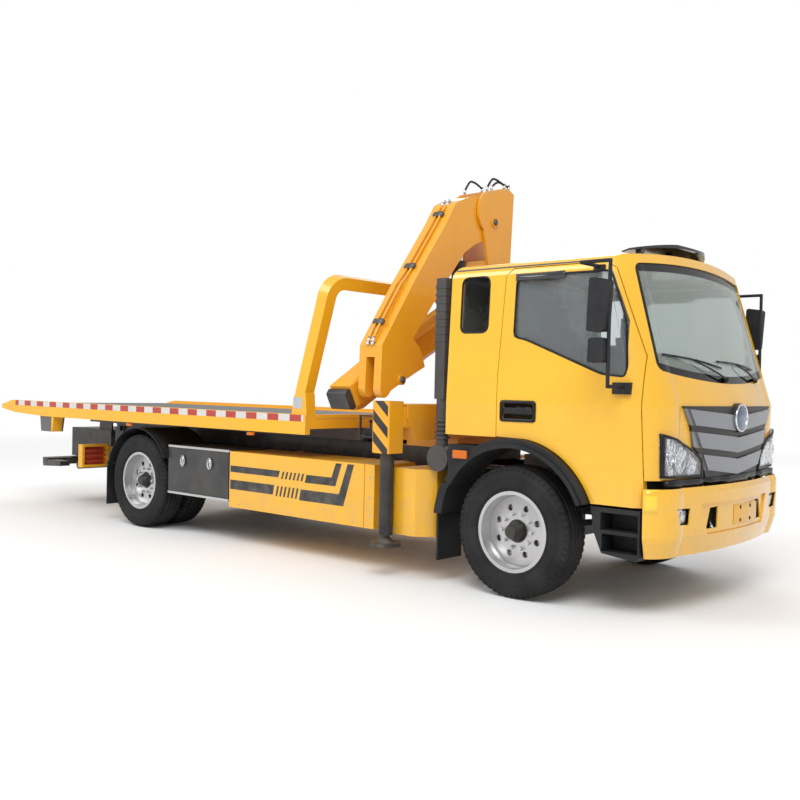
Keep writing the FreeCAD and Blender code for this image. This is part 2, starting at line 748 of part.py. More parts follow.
def cab_walls():
    """The hollow cab without its doors, with the windscreen and window openings cut."""
    outer = cab_form("cab_outer", size(0))
    inner = cab_form("cab_inner", D.cab_wall)
    rear = D.cab_rear
    far = D.belt_front + 300
    half = D.cab_half + 200
    cabin = prism("cabin_space", "XZ", [
        (rear, D.cab_rear_low + D.floor_thick), (290, D.cab_rear_low + D.floor_thick), (340, D.floor_top),
        (far, D.floor_top), (far, 2900), (rear, 2900),
    ], (-half, half))
    below = box("under_floor", (-40, far), (-half, half), (D.cab_low - 200, D.floor_top - D.floor_thick))
    keel = prism("under_cab", "XZ", [
        (rear - 100, D.cab_low - 200), (far, D.cab_low - 200), (far, D.nose_low), (D.door_front_low - 40, D.nose_low),
        (D.door_front_low - 40, D.cab_low), (D.arch_foot, D.cab_low), (D.arch_foot - 40, D.cab_low + 10),
        (-60, D.cab_rear_low), (rear - 100, D.cab_rear_low),
    ], (-half, half))
    arch = rod("wheel_arch_cut", "Y", (0, -half, D.arch_z), half * 2, D.arch_radius)
    inboard = box("arch_middle", (-900, 900), (-760, 760), (0, 1400))
    arches = cut("wheel_arches_cut", arch, inboard)
    tunnel = box("tunnel_cut", (D.engine_rear - 30, D.engine_front + 40), (-D.tunnel_half, D.tunnel_half),
                 (D.cab_low, D.engine_top + 20))
    shell = cut("cab_hollow", outer, common("cab_room", inner, cabin), common("cab_below", inner, below),
                keel, arches, tunnel, screen_outline(0), quarter_outline(0))
    return shell


def tunnel_cover():
    """The raised cover over the engine between the seats."""
    return box("tunnel_cover", (D.engine_rear - 40, D.engine_front + 80), (-D.tunnel_half - 8, D.tunnel_half + 8),
               (D.floor_top - 2, D.tunnel_top))


def cab():
    walls = cab_walls()
    half = D.cab_half + 150
    opening = prism("door_opening", "XZ", door_outline(size(0)), (-half, -D.roof_half + 150), {8: D.door_arch})
    opening_left = mirrored("door_opening_left", opening)
    cover = tunnel_cover()
    shell = fuse("cab_joined", cut("cab_open", walls, opening, opening_left), cover)
    eyes = []
    for i, s in enumerate((1, -1)):
        y = sorted_span(s, D.rail_y + 12, D.rail_y + 44)
        eye = prism(f"hinge_eye{i}", "XZ", [
            (D.hinge_x - D.hinge_eye, D.hinge_z), (D.hinge_x + D.hinge_eye, D.hinge_z), (D.low_front + 43, D.nose_low - 33),
            (D.low_front + 43, D.nose_low + 40), (D.low_front + 6, D.nose_low + 40), (D.low_front + 6, D.nose_low - 33),
        ], y, {0: D.hinge_eye + 0.2})
        eyes.append(eye)
    bore = rod("hinge_bore", "Y", (D.hinge_x, -D.rail_y - 100, D.hinge_z), D.rail_y * 2 + 200,
               D.hinge_pin + D.pin_gap)
    straps = door_straps()
    whole = cut("cab_bored", fuse("cab_with_eyes", shell, *eyes, straps, mirrored("straps_left", straps)), bore)
    from_axle(whole, "cab_shell")
    door_region = prism("door_region", "XZ", door_outline(D.door_gap), (-half, -D.roof_half + 155), {8: D.door_arch})
    window = prism("window_cut", "XZ", window_outline(size(0)), (-half, -D.roof_half + 300))
    grip = box("handle_pocket", (-115, 160), (-half, -D.cab_half + 22), (1318, 1440))
    panel = cut("door_panel", common("door_skin", walls_copy(), door_region), window, grip)
    lever = box("handle_bar", (-100, 145), (-D.cab_half + 2, -D.cab_half + 16), (1362, 1398))
    ends = [box(f"handle_foot{i}", (x, x + 26), (-D.cab_half + 10, -D.cab_half + 24), (1364, 1396))
            for i, x in enumerate((-96, 115))]
    right = fuse("door_whole", cut("door_notched", panel, *door_notches()), lever, *ends, *door_pins())
    from_axle(right, "door_R")
    node(mirrored("door_whole_left", right), "door_L")


def walls_copy():
    """The wall's full band at the door, before anything is cut from it."""
    outer = cab_form("door_outer", size(0))
    inner = cab_form("door_inner", D.cab_wall)
    return cut("door_band", outer, inner)


dims(strap_low=1000, strap_high=1380, strap_height=28, notch_height=52, knuckle_radius=10)


def door_straps():
    """The two hinges of the right door: each is a strap from the pillar that bends out to its knuckle."""
    straps = []
    x, y = D.door_hinge_x, -D.door_hinge_y
    for i, z in enumerate((D.strap_low, D.strap_high)):
        low, high = z - D.strap_height / 2, z + D.strap_height / 2
        knuckle = rod(f"hinge_knuckle{i}", "Z", (x, y, low), D.strap_height, D.knuckle_radius)
        bend = box(f"hinge_bend{i}", (x - 10, x - 3), (y, y + 73), (low, high))
        leaf = box(f"hinge_leaf{i}", (x - 10, x + 85), (y + 61, y + 73), (low, high))
        hole = rod(f"hinge_hole{i}", "Z", (x, y, low - 1), D.strap_height + 2, D.door_pin + D.pin_gap)
        straps.append(cut(f"hinge_strap{i}", fuse(f"hinge_parts{i}", knuckle, bend, leaf), hole))
    return group("door_straps", *straps)


def door_notches():
    """The recesses in the door's front edge, open inwards, that its hinges work in."""
    x, y = D.door_hinge_x, -D.door_hinge_y
    boxes = [box(f"notch{i}", (x - 24, x + 80), (y - 13, y + 110), (z - D.notch_height / 2, z + D.notch_height / 2))
             for i, z in enumerate((D.strap_low, D.strap_high))]
    return [common(f"notch_in_skin{i}", b, cab_form(f"notch_form{i}", size(7))) for i, b in enumerate(boxes)]


def door_pins():
    x, y = D.door_hinge_x, -D.door_hinge_y
    return [rod(f"door_pin{i}", "Z", (x, y, z - D.notch_height / 2 - 4), D.notch_height + 8, D.door_pin)
            for i, z in enumerate((D.strap_low, D.strap_high))]


def window_outline(inset):
    """The door window, its lower edge falling towards the front."""
    return [
        (-45 + inset, 1925 + inset), (60, 1905 + inset), (700, 1655 + inset), (872 - inset, 1640 + inset),
        (888 - inset, 1700), (868 - inset, 2020), (735 - inset, 2372 - inset), (10, 2376 - inset),
        (-40 + inset, 2335),
    ]


# Panels and fittings on the cab's outside, which follow its form at a set distance.
dims(skin_gap=0.3, grille_depth=34, lamp_depth=26)


def skin(name, gap, depth):
    """A layer that follows the cab's outer form, from a gap outside it to a depth."""
    return cut(name, cab_form(name + "_outside", -(gap + depth)), cab_form(name + "_inside", -gap))


def v_bar(name, number):
    """The front outline of one grille bar: a shallow V, each bar wider than the one below it."""
    tip = D.bar_low + D.bar_pitch * number
    foot = D.bar_half + D.bar_spread * number
    head = foot + D.bar_flare
    low, high = tip + D.bar_rise, tip + D.bar_rise + D.bar_height
    return prism(name, "YZ", [
        (-foot, low), (0, tip), (foot, low), (head, high), (0, tip + D.bar_height + 6), (-head, high),
    ], (700, D.belt_front + 300))


dims(grille_half=785, grille_top=1450, grille_low=940, bar_low=952, bar_pitch=158, bar_height=108, bar_rise=52)
dims(bar_half=462, bar_spread=98, bar_flare=76)


def grille():
    """A dark surround with three bright V bars that stand proud of it, and a plain oval badge plate."""
    layer = skin("grille_layer", D.skin_gap, D.grille_depth * 0.55)
    face = prism("grille_face", "YZ", [
        (-D.grille_half + 325, D.grille_low), (D.grille_half - 325, D.grille_low),
        (D.grille_half - 254, 1091), (D.grille_half - 140, 1172), (D.grille_half - 104, 1295), (D.grille_half, D.grille_top),
        (-D.grille_half, D.grille_top), (-D.grille_half + 104, 1295), (-D.grille_half + 140, 1172),
        (-D.grille_half + 254, 1091),
    ], (700, D.belt_front + 300))
    surround = common("grille_plate", layer, face)
    proud = skin("bar_layer", D.skin_gap, D.grille_depth)
    bars = [common(f"grille_bar{i}", proud, v_bar(f"bar_outline{i}", i)) for i in range(3)]
    badge_body = doc.addObject("PartDesign::Body", "badge_body")
    sketch = sketch_on(badge_body, "YZ", 700)
    oval = sketch.addGeometry(Part.Ellipse(V(116, 1366, 0), V(0, 1473, 0), V(0, 1366, 0)), False)
    sketch.addConstraint(Sketcher.Constraint("Block", oval))
    pad = badge_body.newObject("PartDesign::Pad", "badge_pad")
    pad.Profile = sketch
    bind(pad, "Length", D.belt_front - 400)
    badge = common("badge_plate", skin("badge_layer", D.skin_gap, D.grille_depth * 1.3), badge_body)
    whole = fuse("grille_whole", surround, *bars, badge)
    from_axle(whole, "grille")


def headlamps():
    """A clear trapezoid lamp at each lower corner of the cab."""
    layer = skin("lamp_layer", D.skin_gap, D.lamp_depth)
    outline_right = prism("lamp_outline", "YZ", [
        (-515, 948), (-535, 1070), (-650, 1150), (-871, 1231), (-1006, 1266), (-990, 962),
    ], (800, D.belt_front + 300))
    whole = pair("lamp_pair", common("lamp_right", layer, outline_right))
    from_axle(whole, "headlamps")


def cab_glass():
    """The windscreen and the two rear quarter panes, set a little inside the cab's face."""
    outer = cab_form("glass_outside", D.glass_inset)
    inner = cab_form("glass_inside", D.glass_inset + D.glass)
    layer = cut("glass_layer", outer, inner)
    panes = fuse("pane_outlines", screen_outline(D.seat), quarter_outline(D.seat))
    from_axle(common("cab_panes", layer, panes), "cab_glass")


def door_glass():
    half = D.cab_half + 150
    outer = cab_form("door_glass_outside", D.glass_inset)
    inner = cab_form("door_glass_inside", D.glass_inset + D.glass)
    pane = prism("door_pane", "XZ", window_outline(D.seat), (-half, -D.roof_half + 300))
    right = common("door_pane_right", cut("door_glass_layer", outer, inner), pane)
    from_axle(right, "door_glass_R")
    node(mirrored("door_pane_left", right), "door_glass_L")


def mirrors():
    """Two mirror heads on a bent tube, which is held to the door above and below its window."""
    y = -D.cab_half - 235
    main = round_edges(prism("mirror_main", "XZ", [
        (738, 1930), (862, 1930), (884, 2270), (754, 2290),
    ], (y - 50, y + 50)), size(22), runs_along(V(0, 1, 0)))
    small = round_edges(prism("mirror_small", "XZ", [
        (744, 1725), (862, 1725), (862, 1890), (752, 1890),
    ], (y - 40, y + 40)), size(20), runs_along(V(0, 1, 0)))
    r = 13
    post = rod("mirror_post", "Z", (870, y + 20, 1560), size(850), size(r))
    back = rod("mirror_back", "X", (650, y + 20, 2400), size(220), size(r))
    top = rod("mirror_top", "Y", (650, y + 20, 2400), -D.roof_half - 24 - (y + 20), size(r))
    low = rod("mirror_low", "Y", (870, y + 20, 1570), -D.cab_half - 14 - (y + 20), size(r))
    foot_low = box("mirror_foot_low", (800, 930), (-D.cab_half - 26, -D.cab_half + 60), (1520, 1600))
    foot_top = box("mirror_foot_top", (610, 690), (-D.roof_half - 34, -D.roof_half + 60), (2372, 2412))
    feet = cut("mirror_feet", fuse("mirror_foot_pair", foot_low, foot_top), cab_form("mirror_seat", -D.skin_gap))
    right = fuse("mirror_whole", main, small, post, back, top, low, feet)
    from_axle(right, "mirror_R")
    node(mirrored("mirror_whole_left", right), "mirror_L")


dims(visor_tail=560, visor_half=600, visor_bow=900, visor_low=2562, visor_rise=62, visor_thick=18)


def roof_visor():
    """A curved shade over the windscreen, held off the roof by feet."""
    plan = prism("shade_plan", "XY", [
        (D.visor_tail, -D.visor_half), (D.visor_tail + 60, -D.visor_half), (D.visor_tail + 60, D.visor_half),
        (D.visor_tail, D.visor_half),
    ], (D.roof_crown - 60, D.roof_crown + 200), {1: D.visor_bow, 3: -D.visor_bow * 8})
    low, edge = D.visor_low, D.visor_half + 40
    band = prism("shade_band", "XZ", [
        (D.visor_tail - 40, low - 8), (D.visor_tail + 260, low + D.visor_rise - 8),
        (D.visor_tail + 320, low + D.visor_rise - 12), (D.visor_tail + 320, low + D.visor_rise + 4),
        (D.visor_tail + 260, low + D.visor_rise + D.visor_thick), (D.visor_tail - 40, low),
    ], (-edge, edge))
    shade = common("shade", plan, band)
    feet = [box(f"shade_foot{i}", (D.visor_tail + 70, D.visor_tail + 120), (y, y + 40), (D.roof_crown - 60, low + 16))
            for i, y in enumerate((-520, -20, 480))]
    whole = cut("visor_whole", fuse("visor_parts", shade, *feet), cab_form("visor_seat", -D.skin_gap))
    from_axle(whole, "roof_visor")


def wheel_arches():
    """Dark flares round the front wheel openings, in two tiers, with the liner over the wheel."""
    half = D.cab_half
    z = D.arch_z
    outer = rod("flare_outer", "Y", (0, -half - 58, z), size(340), D.arch_radius - 0.8)
    tier = rod("flare_tier", "Y", (0, -half - 70, z), size(32), D.arch_radius - 40)
    bore = rod("flare_bore", "Y", (0, -half - 80, z), size(420), D.arch_radius - 72)
    ring_body = cut("flare_ring", fuse("flare_tiers", outer, tier), bore)
    keep = prism("flare_keep", "XZ", [
        (-780, z + 440), (-300, z + 180), (300, z + 180), (D.arch_foot - 2, D.cab_low + 6), (780, 1400), (-780, 1400),
    ], (-half - 90, -600))
    block = prism("flare_block", "XZ", [
        (-610, 1105), (-610, 809), (-300, 1105),
    ], (-half - 12, -half + 200), {1: -D.arch_radius + 4})
    right = fuse("flare_whole", common("flare_right", ring_body, keep), block)
    from_axle(pair("flares", right), "wheel_arches")


def seats():
    """Two front seats and the bunk behind them, each a cushion with a raked back."""
    parts = []
    for i, s in enumerate((1, -1)):
        y = size(s * 640)
        cushion = box(f"seat_cushion{i}", (60, 560), (y - 250, y + 250), (1330, 1450))
        base = box(f"seat_base{i}", (80, 280), (y - 180, y + 180), (D.cab_rear_low + D.floor_thick + D.seat, 1330))
        back = prism(f"seat_back{i}", "XZ", [
            (60, 1400), (190, 1400), (80, 2000), (-20, 2000),
        ], (y - 240, y + 240))
        head = box(f"seat_head{i}", (-30, 60), (y - 130, y + 130), (2000, 2170))
        parts.append(fuse(f"seat{i}", cushion, base, back, head))
    bunk = box("bunk", (D.cab_rear + D.cab_wall + 4, -150), (-980, 980), (D.tunnel_top + D.seat, 1520))
    from_axle(group("seat_set", *parts, bunk), "seats")


def dashboard():
    """The dashboard with its cowl, the steering column and the wheel on the left side."""
    board = prism("board", "XZ", [
        (720, 1200), (1000, 1200), (1010, 1560), (900, 1590), (760, 1560), (690, 1470),
    ], (-900, 900))
    clear = cab_form("board_clear", D.cab_wall + 12)
    body = common("board_fitted", board, clear)
    foot = box("board_foot", (820, 980), (-860, 860), (D.floor_top + 0.3, 1210))
    foot = common("foot_fitted", foot, cab_form("foot_clear", D.cab_wall + 12))
    wheel = doc.addObject("Part::Torus", "steering_ring")
    wheel.Radius1 = 215
    wheel.Radius2 = 15
    wheel.Placement = FreeCAD.Placement(V(560, 640, 1600), FreeCAD.Rotation(V(0, 1, 0), -32))
    spoke = doc.addObject("Part::Box", "steering_spoke")
    spoke.Length = 50
    spoke.Width = 420
    spoke.Height = 14
    spoke.Placement = FreeCAD.Placement(V(0, 0, 0), FreeCAD.Rotation(V(0, 1, 0), -32))
    place(spoke, 540, 430, 1585)
    column = doc.addObject("Part::Cylinder", "steering_column")
    column.Radius = 34
    column.Height = 300
    column.Placement = FreeCAD.Placement(V(560, 640, 1600), FreeCAD.Rotation(V(0, 1, 0), 148))
    whole = fuse("dash_whole", body, foot, wheel, spoke, column)
    from_axle(whole, "dashboard")


# The bumper and the dark mouldings under the cab
dims(bumper_top=893, bumper_low=425, bumper_front=1182, bumper_foot=1140, bumper_head=1165, bumper_side=1030)
dims(bumper_wall=10, bumper_recess=16, bumper_bow=4300, bumper_corner=270)


def bumper_form(name, inset, low, high):
    """The bumper's form, or the same moved inwards, between two heights."""
    corner = D.bumper_corner - inset
    bows = {1: corner, 2: D.bumper_bow - inset, 3: corner}

    def level(front, half):
        return plan_points(front - inset, D.bumper_side + 14, half - inset, D.top_corner_y, D.bumper_side)
    return loft(name, [
        (low, level(D.bumper_foot, D.cab_half - 40), bows),
        (D.bumper_low + 140, level(D.bumper_front, D.cab_half - 8), bows),
        (D.bumper_top - 40, level(D.bumper_front, D.cab_half - 4), bows),
        (high, level(D.bumper_head, D.cab_half - 10), bows),
    ])


def middle_recess(name, rim, depth):
    """The wide flat between the fog lamps, pressed in by a depth; rim widens its outline."""
    region = prism(name + "_region", "YZ", [
        (-500 - rim, 556 - rim), (500 + rim, 556 - rim), (600 + rim, 772 + rim), (-600 - rim, 772 + rim),
    ], (D.bumper_side + 20, D.bumper_front + 200))
    behind = bumper_form(name + "_behind", depth, D.bumper_low - 20, D.bumper_top + 20)
    return cut(name, region, behind)


def front_bumper():
    """The bumper shell with its fog lamp pockets, two intakes and the flat that carries the plate."""
    wall, recess = D.bumper_wall, D.bumper_recess
    outer = bumper_form("bumper_outer", size(0), D.bumper_low, D.bumper_top)
    inner = bumper_form("bumper_inner", wall, D.bumper_low + wall, D.bumper_top + 30)
    room = cut("bumper_room", inner, middle_recess("recess_back", wall, wall + recess))
    openings = []
    for i, s in enumerate((1, -1)):
        openings.append(prism(f"fog_pocket{i}", "YZ", [
            (s * 735, 640), (s * 862, 648), (s * 905, 760), (s * 720, 752),
        ], (D.bumper_side + 20, D.bumper_front + 200)))
        openings.append(prism(f"bumper_intake{i}", "YZ", [
            (s * 345, 592), (s * 500, 592), (s * 452, 738), (s * 340, 742),
        ], (D.bumper_side + 20, D.bumper_front + 200)))
    lugs = [box(f"bumper_stay{i}", (D.rail_front - 25 + D.seat, D.bumper_front + 60),
                sorted_span(s, D.rail_y - 140, D.rail_y - 90 - D.seat),
                (D.rail_top - 105, D.rail_top - 75)) for i, s in enumerate((1, -1))]
    joined = fuse("bumper_with_lugs", cut("bumper_hollow", outer, room), *lugs)
    whole = cut("bumper_whole", joined, middle_recess("recess_front", size(0), recess), *openings)
    from_axle(whole, "front_bumper")


def front_fairings():
    """The dark step housings ahead of the front wheels, and the mudguards and flaps behind them."""
    half = D.cab_half
    top = D.cab_low - 12
    step = prism("step_housing", "XZ", [
        (640, top), (672, 560), (730, 430), (990, 400), (1014, 430), (1014, top),
    ], (-half + 4, -760))
    wells = [box(f"step_well{i}", (720 + 12 * i, 1000), (-half - 20, -half + 170), (z, z + 120))
             for i, z in enumerate((590, 445))]
    guard_outer = rod("guard_outer", "Y", (0, -half - 40, D.arch_z), size(330), D.arch_radius + 30)
    guard_inner = rod("guard_inner", "Y", (0, -half - 60, D.arch_z), size(400), D.arch_radius - 44)
    keep = box("guard_keep", (-740, -560), (-half - 50, -700), (560, 803))
    guard = common("guard_right", cut("guard_ring", guard_outer, guard_inner), keep)
    flap = box("front_flap", (-700, -686), (-half - 20, -820), (190, 640))
    stay = box("guard_stay", (-660, -620), (-900, -D.rail_y), (850, 885))
    post = box("guard_post", (-660, -620), (-900, -860), (720, 885))
    right = fuse("guard_whole", guard, flap, stay, post)
    bracket = box("step_bracket", (800, 880), (-770, -D.rail_y), (680, 720))
    steps = fuse("step_whole", cut("step_cut", step, *wells), bracket)
    from_axle(group("fairings", pair("steps", steps), pair("guards", right)), "front_fairings")


# Boxes and panels along the sides
dims(side_y=1150, box_front=-3252, box_rear=-4238, box_low=405, box_top=898, panel_front=-1352, panel_depth=520)
dims(panel_low=358, panel_top=890, panel_wall=26, nose_rear=-1132, nose_front=-893, box_wall=18, lid_thick=22)


def side_skirts():
    """The long yellow side panels with their returns, and the small box ahead of the outrigger."""
    y_in = -D.side_y + D.panel_depth
    rear = D.box_front + 12
    outer = box("panel_outer", (rear, D.panel_front), (-D.side_y, y_in), (D.panel_low, D.panel_top))
    inner = box("panel_hollow", (rear + D.panel_wall, D.panel_front - D.panel_wall),
                (-D.side_y + D.panel_wall, y_in + 100), (D.panel_low + D.panel_wall, D.panel_top - D.panel_wall))
    groove = box("panel_groove", (D.panel_front - 118, D.panel_front - 106), (-D.side_y - 1, -D.side_y + 8),
                 (D.panel_low - 1, D.panel_top + 1))
    stays = [box(f"panel_stay{i}", (x, x + 50), (y_in - 30, -D.rail_y), (D.panel_top - 60, D.panel_top - 10))
             for i, x in enumerate((rear + 200, D.panel_front - 300))]
    panel = fuse("panel_whole", cut("panel_cut", outer, inner, groove), *stays)
    nose = prism("nose_box", "XY", [
        (D.nose_rear, -D.side_y), (D.nose_front - 10, -D.side_y), (D.nose_front + 110, -D.side_y + 120),
        (D.nose_front + 110, y_in), (D.nose_rear, y_in),
    ], (D.panel_low - 8, D.panel_top - 4))
    nose_stay = box("nose_stay", (D.nose_rear + 60, D.nose_rear + 110), (y_in - 10, -D.rail_y),
                    (D.rail_top - 110, D.rail_top - 60))
    front = fuse("nose_whole", nose, nose_stay)
    from_axle(group("skirts", pair("panels", panel), pair("noses", front)), "side_skirts")


def tool_boxes():
    """A dark locker on each side, open outwards, with bright edge rails; its lid drops about its foot."""
    y_in = -D.side_y + D.panel_depth
    y_face = -D.side_y + D.lid_thick + D.seat
    outer = box("locker_outer", (D.box_rear, D.box_front), (y_face, y_in), (D.box_low, D.box_top))
    w = D.box_wall
    inner = box("locker_room", (D.box_rear + w, D.box_front - w), (y_face - 10, y_in - w),
                (D.box_low + w, D.box_top - w))
    stays = [box(f"locker_stay{i}", (x, x + 50), (y_in - 4, -D.rail_y), (D.rail_top - 110, D.rail_top - 60))
             for i, x in enumerate((D.box_rear + 240, D.box_front - 200))]
    rails = [box(f"locker_rail{i}", (D.box_rear, D.box_front), (-D.side_y, y_face), z)
             for i, z in enumerate(((D.box_low, D.box_low + 22), (D.box_top - 22, D.box_top)))]
    right = fuse("locker_whole", cut("locker_cut", outer, inner), *stays, *rails)
    from_axle(pair("lockers", right), "tool_boxes")
    lid = box("lid_plate", (D.box_rear + 6, D.box_front - 6), (-D.side_y, -D.side_y + D.lid_thick),
              (D.box_low + 27, D.box_top - 27))
    latches = [tube(f"latch{i}", "Y", (x, -D.side_y - 12, (D.box_low + D.box_top) / 2 + 95), size(13),
                    size(44), size(32)) for i, x in enumerate((D.box_rear + 260, D.box_front - 290))]
    whole = fuse("lid_whole", lid, *latches)
    from_axle(whole, "locker_lid_R")
    node(mirrored("lid_left", whole), "locker_lid_L")


dims(fender_gap=62, fender_width=590, fender_outer=1205)


def rear_fenders():
    """Arched fenders over the twin wheels, each with a hanging flap behind."""
    radius = D.tyre_radius + D.fender_gap
    y = (-D.fender_outer, -D.fender_outer + D.fender_width)
    x = -D.wheelbase
    outer = rod("fender_outer", "Y", (x, y[0], D.tyre_radius), D.fender_width, radius + 8)
    inner = rod("fender_inner", "Y", (x, y[0] - 5, D.tyre_radius), D.fender_width + 10, radius)
    low_rear = box("fender_low_rear", (x - 900, x), (y[0] - 10, y[1] + 10), (-100, 600))
    low_front = box("fender_low_front", (x - 10, x + 900), (y[0] - 10, y[1] + 10), (-100, 760))
    arch = cut("fender_arch", outer, inner, low_rear, low_front)
    flap = box("rear_flap", (x - radius - 8, x - radius + 4), y, (190, 660))
    foot = box("fender_foot", (x - radius - 8, x - radius + 40), (y[0] + 60, y[0] + 400), (620, 660))
    stays = [box(f"fender_stay{i}", (x + e - 15, x + e + 15), (y[0] + 60, -D.rail_y), (D.rail_top - 40, D.rail_top - 5))
             for i, e in enumerate((-405, 405))]
    right = fuse("fender_whole", arch, flap, foot, *stays)
    from_axle(pair("fenders", right), "rear_fenders")


dims(lamp_x=-6010, lamp_inner=745, lamp_outer=1085, lamp_low=530, lamp_top=795)


def tail_lamps():
    """Lamp boxes in open guard frames at the end of the chassis."""
    frame = box("guard_frame", (D.lamp_x - 90, D.lamp_x), (-D.lamp_outer, -D.lamp_inner), (D.lamp_low, D.lamp_top))
    hole = box("guard_hole", (D.lamp_x - 60, D.lamp_x + 10), (-D.lamp_outer + 28, -D.lamp_inner - 28),
               (D.lamp_low + 28, D.lamp_top - 28))
    bars = [box(f"guard_bar{i}", (D.lamp_x - 12, D.lamp_x - 2), (-D.lamp_outer + 10, -D.lamp_inner - 10),
                (z, z + 14)) for i, z in enumerate((595, 655, 715))]
    arm = box("lamp_arm", (D.lamp_x - 70, D.lamp_x - 10), (-D.lamp_inner - 4, -D.rail_y), (700, 760))
    right = fuse("lamp_whole", cut("guard_cut", frame, hole), *bars, arm)
    from_axle(pair("lamps", right), "tail_lamps")


def intake_stack():
    """The air intake behind the cab: a ribbed stack, its duct, the bellows and the filter can."""
    x = D.cab_rear - 130
    stack = box("stack", (x, x + 95), (-1095, -985), (1450, 2400))
    ribs = [box(f"stack_rib{i}", (x - 5, x + 100), (-1100, -980), (1900 + 60 * i, 1922 + 60 * i)) for i in range(8)]
    duct = rod("duct", "Z", (x + 47, -1040, 1280), size(180), size(52))
    folds = [rod(f"fold{i}", "Z", (x + 47, -1040, 1140 + 34 * i), size(17), size(62)) for i in range(5)]
    core = rod("fold_core", "Z", (x + 47, -1040, 1060), size(250), size(46))
    can = rod("filter_can", "Y", (x + 47, -1100, 985), size(380), size(105))
    stay = box("can_stay", (x + 20, x + 74), (-730, -D.rail_y), (D.rail_top - 60, D.rail_top - 20))
    arm = box("stack_stay", (x + 20, x + 74), (-745, -720), (D.rail_top - 60, 990))
    from_axle(fuse("stack_whole", stack, *ribs, duct, *folds, core, can, stay, arm), "intake_stack")


# The bed, the frame that it slides and tilts on, and the underlift
dims(bed_front=-2125, bed_rear=-7380, tail_tip=-7712, bed_half=1220, bed_low=1102, bed_top=1278, side_width=58)
dims(deck_top=1240, deck_plate=8, runner_y=484, runner_width=62, runner_low=1034, slide_gap=0.5, tip_z=1196)
dims(member_pitch=583, member_low=1152, tilt_front=-2180, tilt_rear=-6960, tilt_width=80, tilt_gap=2)


def bed_deck():
    """A plated deck on cross members between two box side rails, with runners below and a ramp tail."""
    plate = box("deck_plate_body", (D.tail_tip + 90, D.bed_front), (-D.bed_half + D.side_width, D.bed_half - D.side_width),
                (D.deck_top - D.deck_plate, D.deck_top))
    rails = []
    for i, s in enumerate((1, -1)):
        y = sorted_span(s, D.bed_half - D.side_width, D.bed_half)
        rails.append(prism(f"side_rail{i}", "XZ", [
            (D.tail_tip + 6, D.tip_z - 26), (D.bed_rear, D.bed_low + 26), (D.bed_rear + 700, D.bed_low),
            (D.bed_front, D.bed_low), (D.bed_front, D.bed_top), (D.bed_rear - 70, D.bed_top),
            (D.tail_tip, D.tip_z + 22),
        ], y))
    tail = prism("tail_wedge", "XZ", [
        (D.tail_tip + 2, D.tip_z - 18), (D.bed_rear, D.bed_low + 40), (D.bed_rear + 60, D.bed_low + 40),
        (D.bed_rear + 60, D.deck_top), (D.bed_rear - 60, D.deck_top), (D.tail_tip, D.tip_z + 14),
    ], (-D.bed_half + D.side_width, D.bed_half - D.side_width))
    head = box("front_beam", (D.bed_front - 60, D.bed_front), (-D.bed_half + 2, D.bed_half - 2),
               (D.member_low, D.bed_top))
    members = []
    for i in range(8):
        x = D.bed_front - 260 - D.member_pitch * i
        members.append(box(f"deck_member{i}", (x - 55, x), (-D.bed_half + D.side_width, D.bed_half - D.side_width),
                           (D.member_low, D.deck_top - D.deck_plate)))
    runners = []
    for i, s in enumerate((1, -1)):
        y = sorted_span(s, D.runner_y - D.runner_width / 2, D.runner_y + D.runner_width / 2)
        runners.append(box(f"runner{i}", (D.bed_rear + 640, D.bed_front - 20), y, (D.runner_low, D.member_low + 2)))
    stirrups = [prism(f"stirrup{i}", "XZ", [
        (-6766, D.bed_low + 26), (-6736, 925), (-6480, 925), (-6440, D.bed_low + 20),
    ], sorted_span(s, D.bed_half - 150, D.bed_half - 10)) for i, s in enumerate((1, -1))]
    whole = fuse("deck_whole", plate, *rails, tail, head, *members, *runners, *stirrups)
    from_axle(whole, "bed_deck")


dims(hoop_x=-2222, hoop_base=1447, hoop_top=2492, hoop_lean=17, hoop_half=1205, hoop_deep=120, hoop_wide=110)
dims(hoop_bend=190)


def headboard():
    """The hoop at the front of the bed: a box section bent over at both top corners, leaning forward."""
    rise = (D.hoop_top - D.hoop_base) / cosine(D.hoop_lean)
    half, bend, wide = D.hoop_half, D.hoop_bend, D.hoop_wide
    hoop = prism("hoop", "YZ", [
        (-half, 0), (-half + wide, 0), (-half + wide, rise - bend), (-half + bend, rise - wide),
        (half - bend, rise - wide), (half - wide, rise - bend), (half - wide, 0), (half, 0),
        (half, rise - bend), (half - bend, rise), (-half + bend, rise), (-half, rise - bend),
    ], (-D.hoop_deep / 2, D.hoop_deep / 2), {2: wide - bend, 4: wide - bend, 8: bend, 10: bend})
    hoop.Placement = FreeCAD.Placement(V(0, 0, 0), FreeCAD.Rotation(V(0, 1, 0), D.hoop_lean.value))
    bind(hoop, "Placement.Rotation.Angle", D.hoop_lean)
    bind(hoop, "Placement.Base.x", D.hoop_x)
    bind(hoop, "Placement.Base.z", D.hoop_base)
    legs = []
    for i, s in enumerate((1, -1)):
        y = sorted_span(s, half - wide, half)
        legs.append(prism(f"hoop_leg{i}", "XZ", [
            (D.hoop_x - 100, D.bed_top), (D.hoop_x + 95, D.bed_top), (D.hoop_x + 78, D.hoop_base + 20),
            (D.hoop_x + 10, D.hoop_base + 60), (D.hoop_x - D.hoop_deep / 2 - 6, D.hoop_base),
        ], y))
    from_axle(fuse("hoop_whole", hoop, *legs), "headboard")


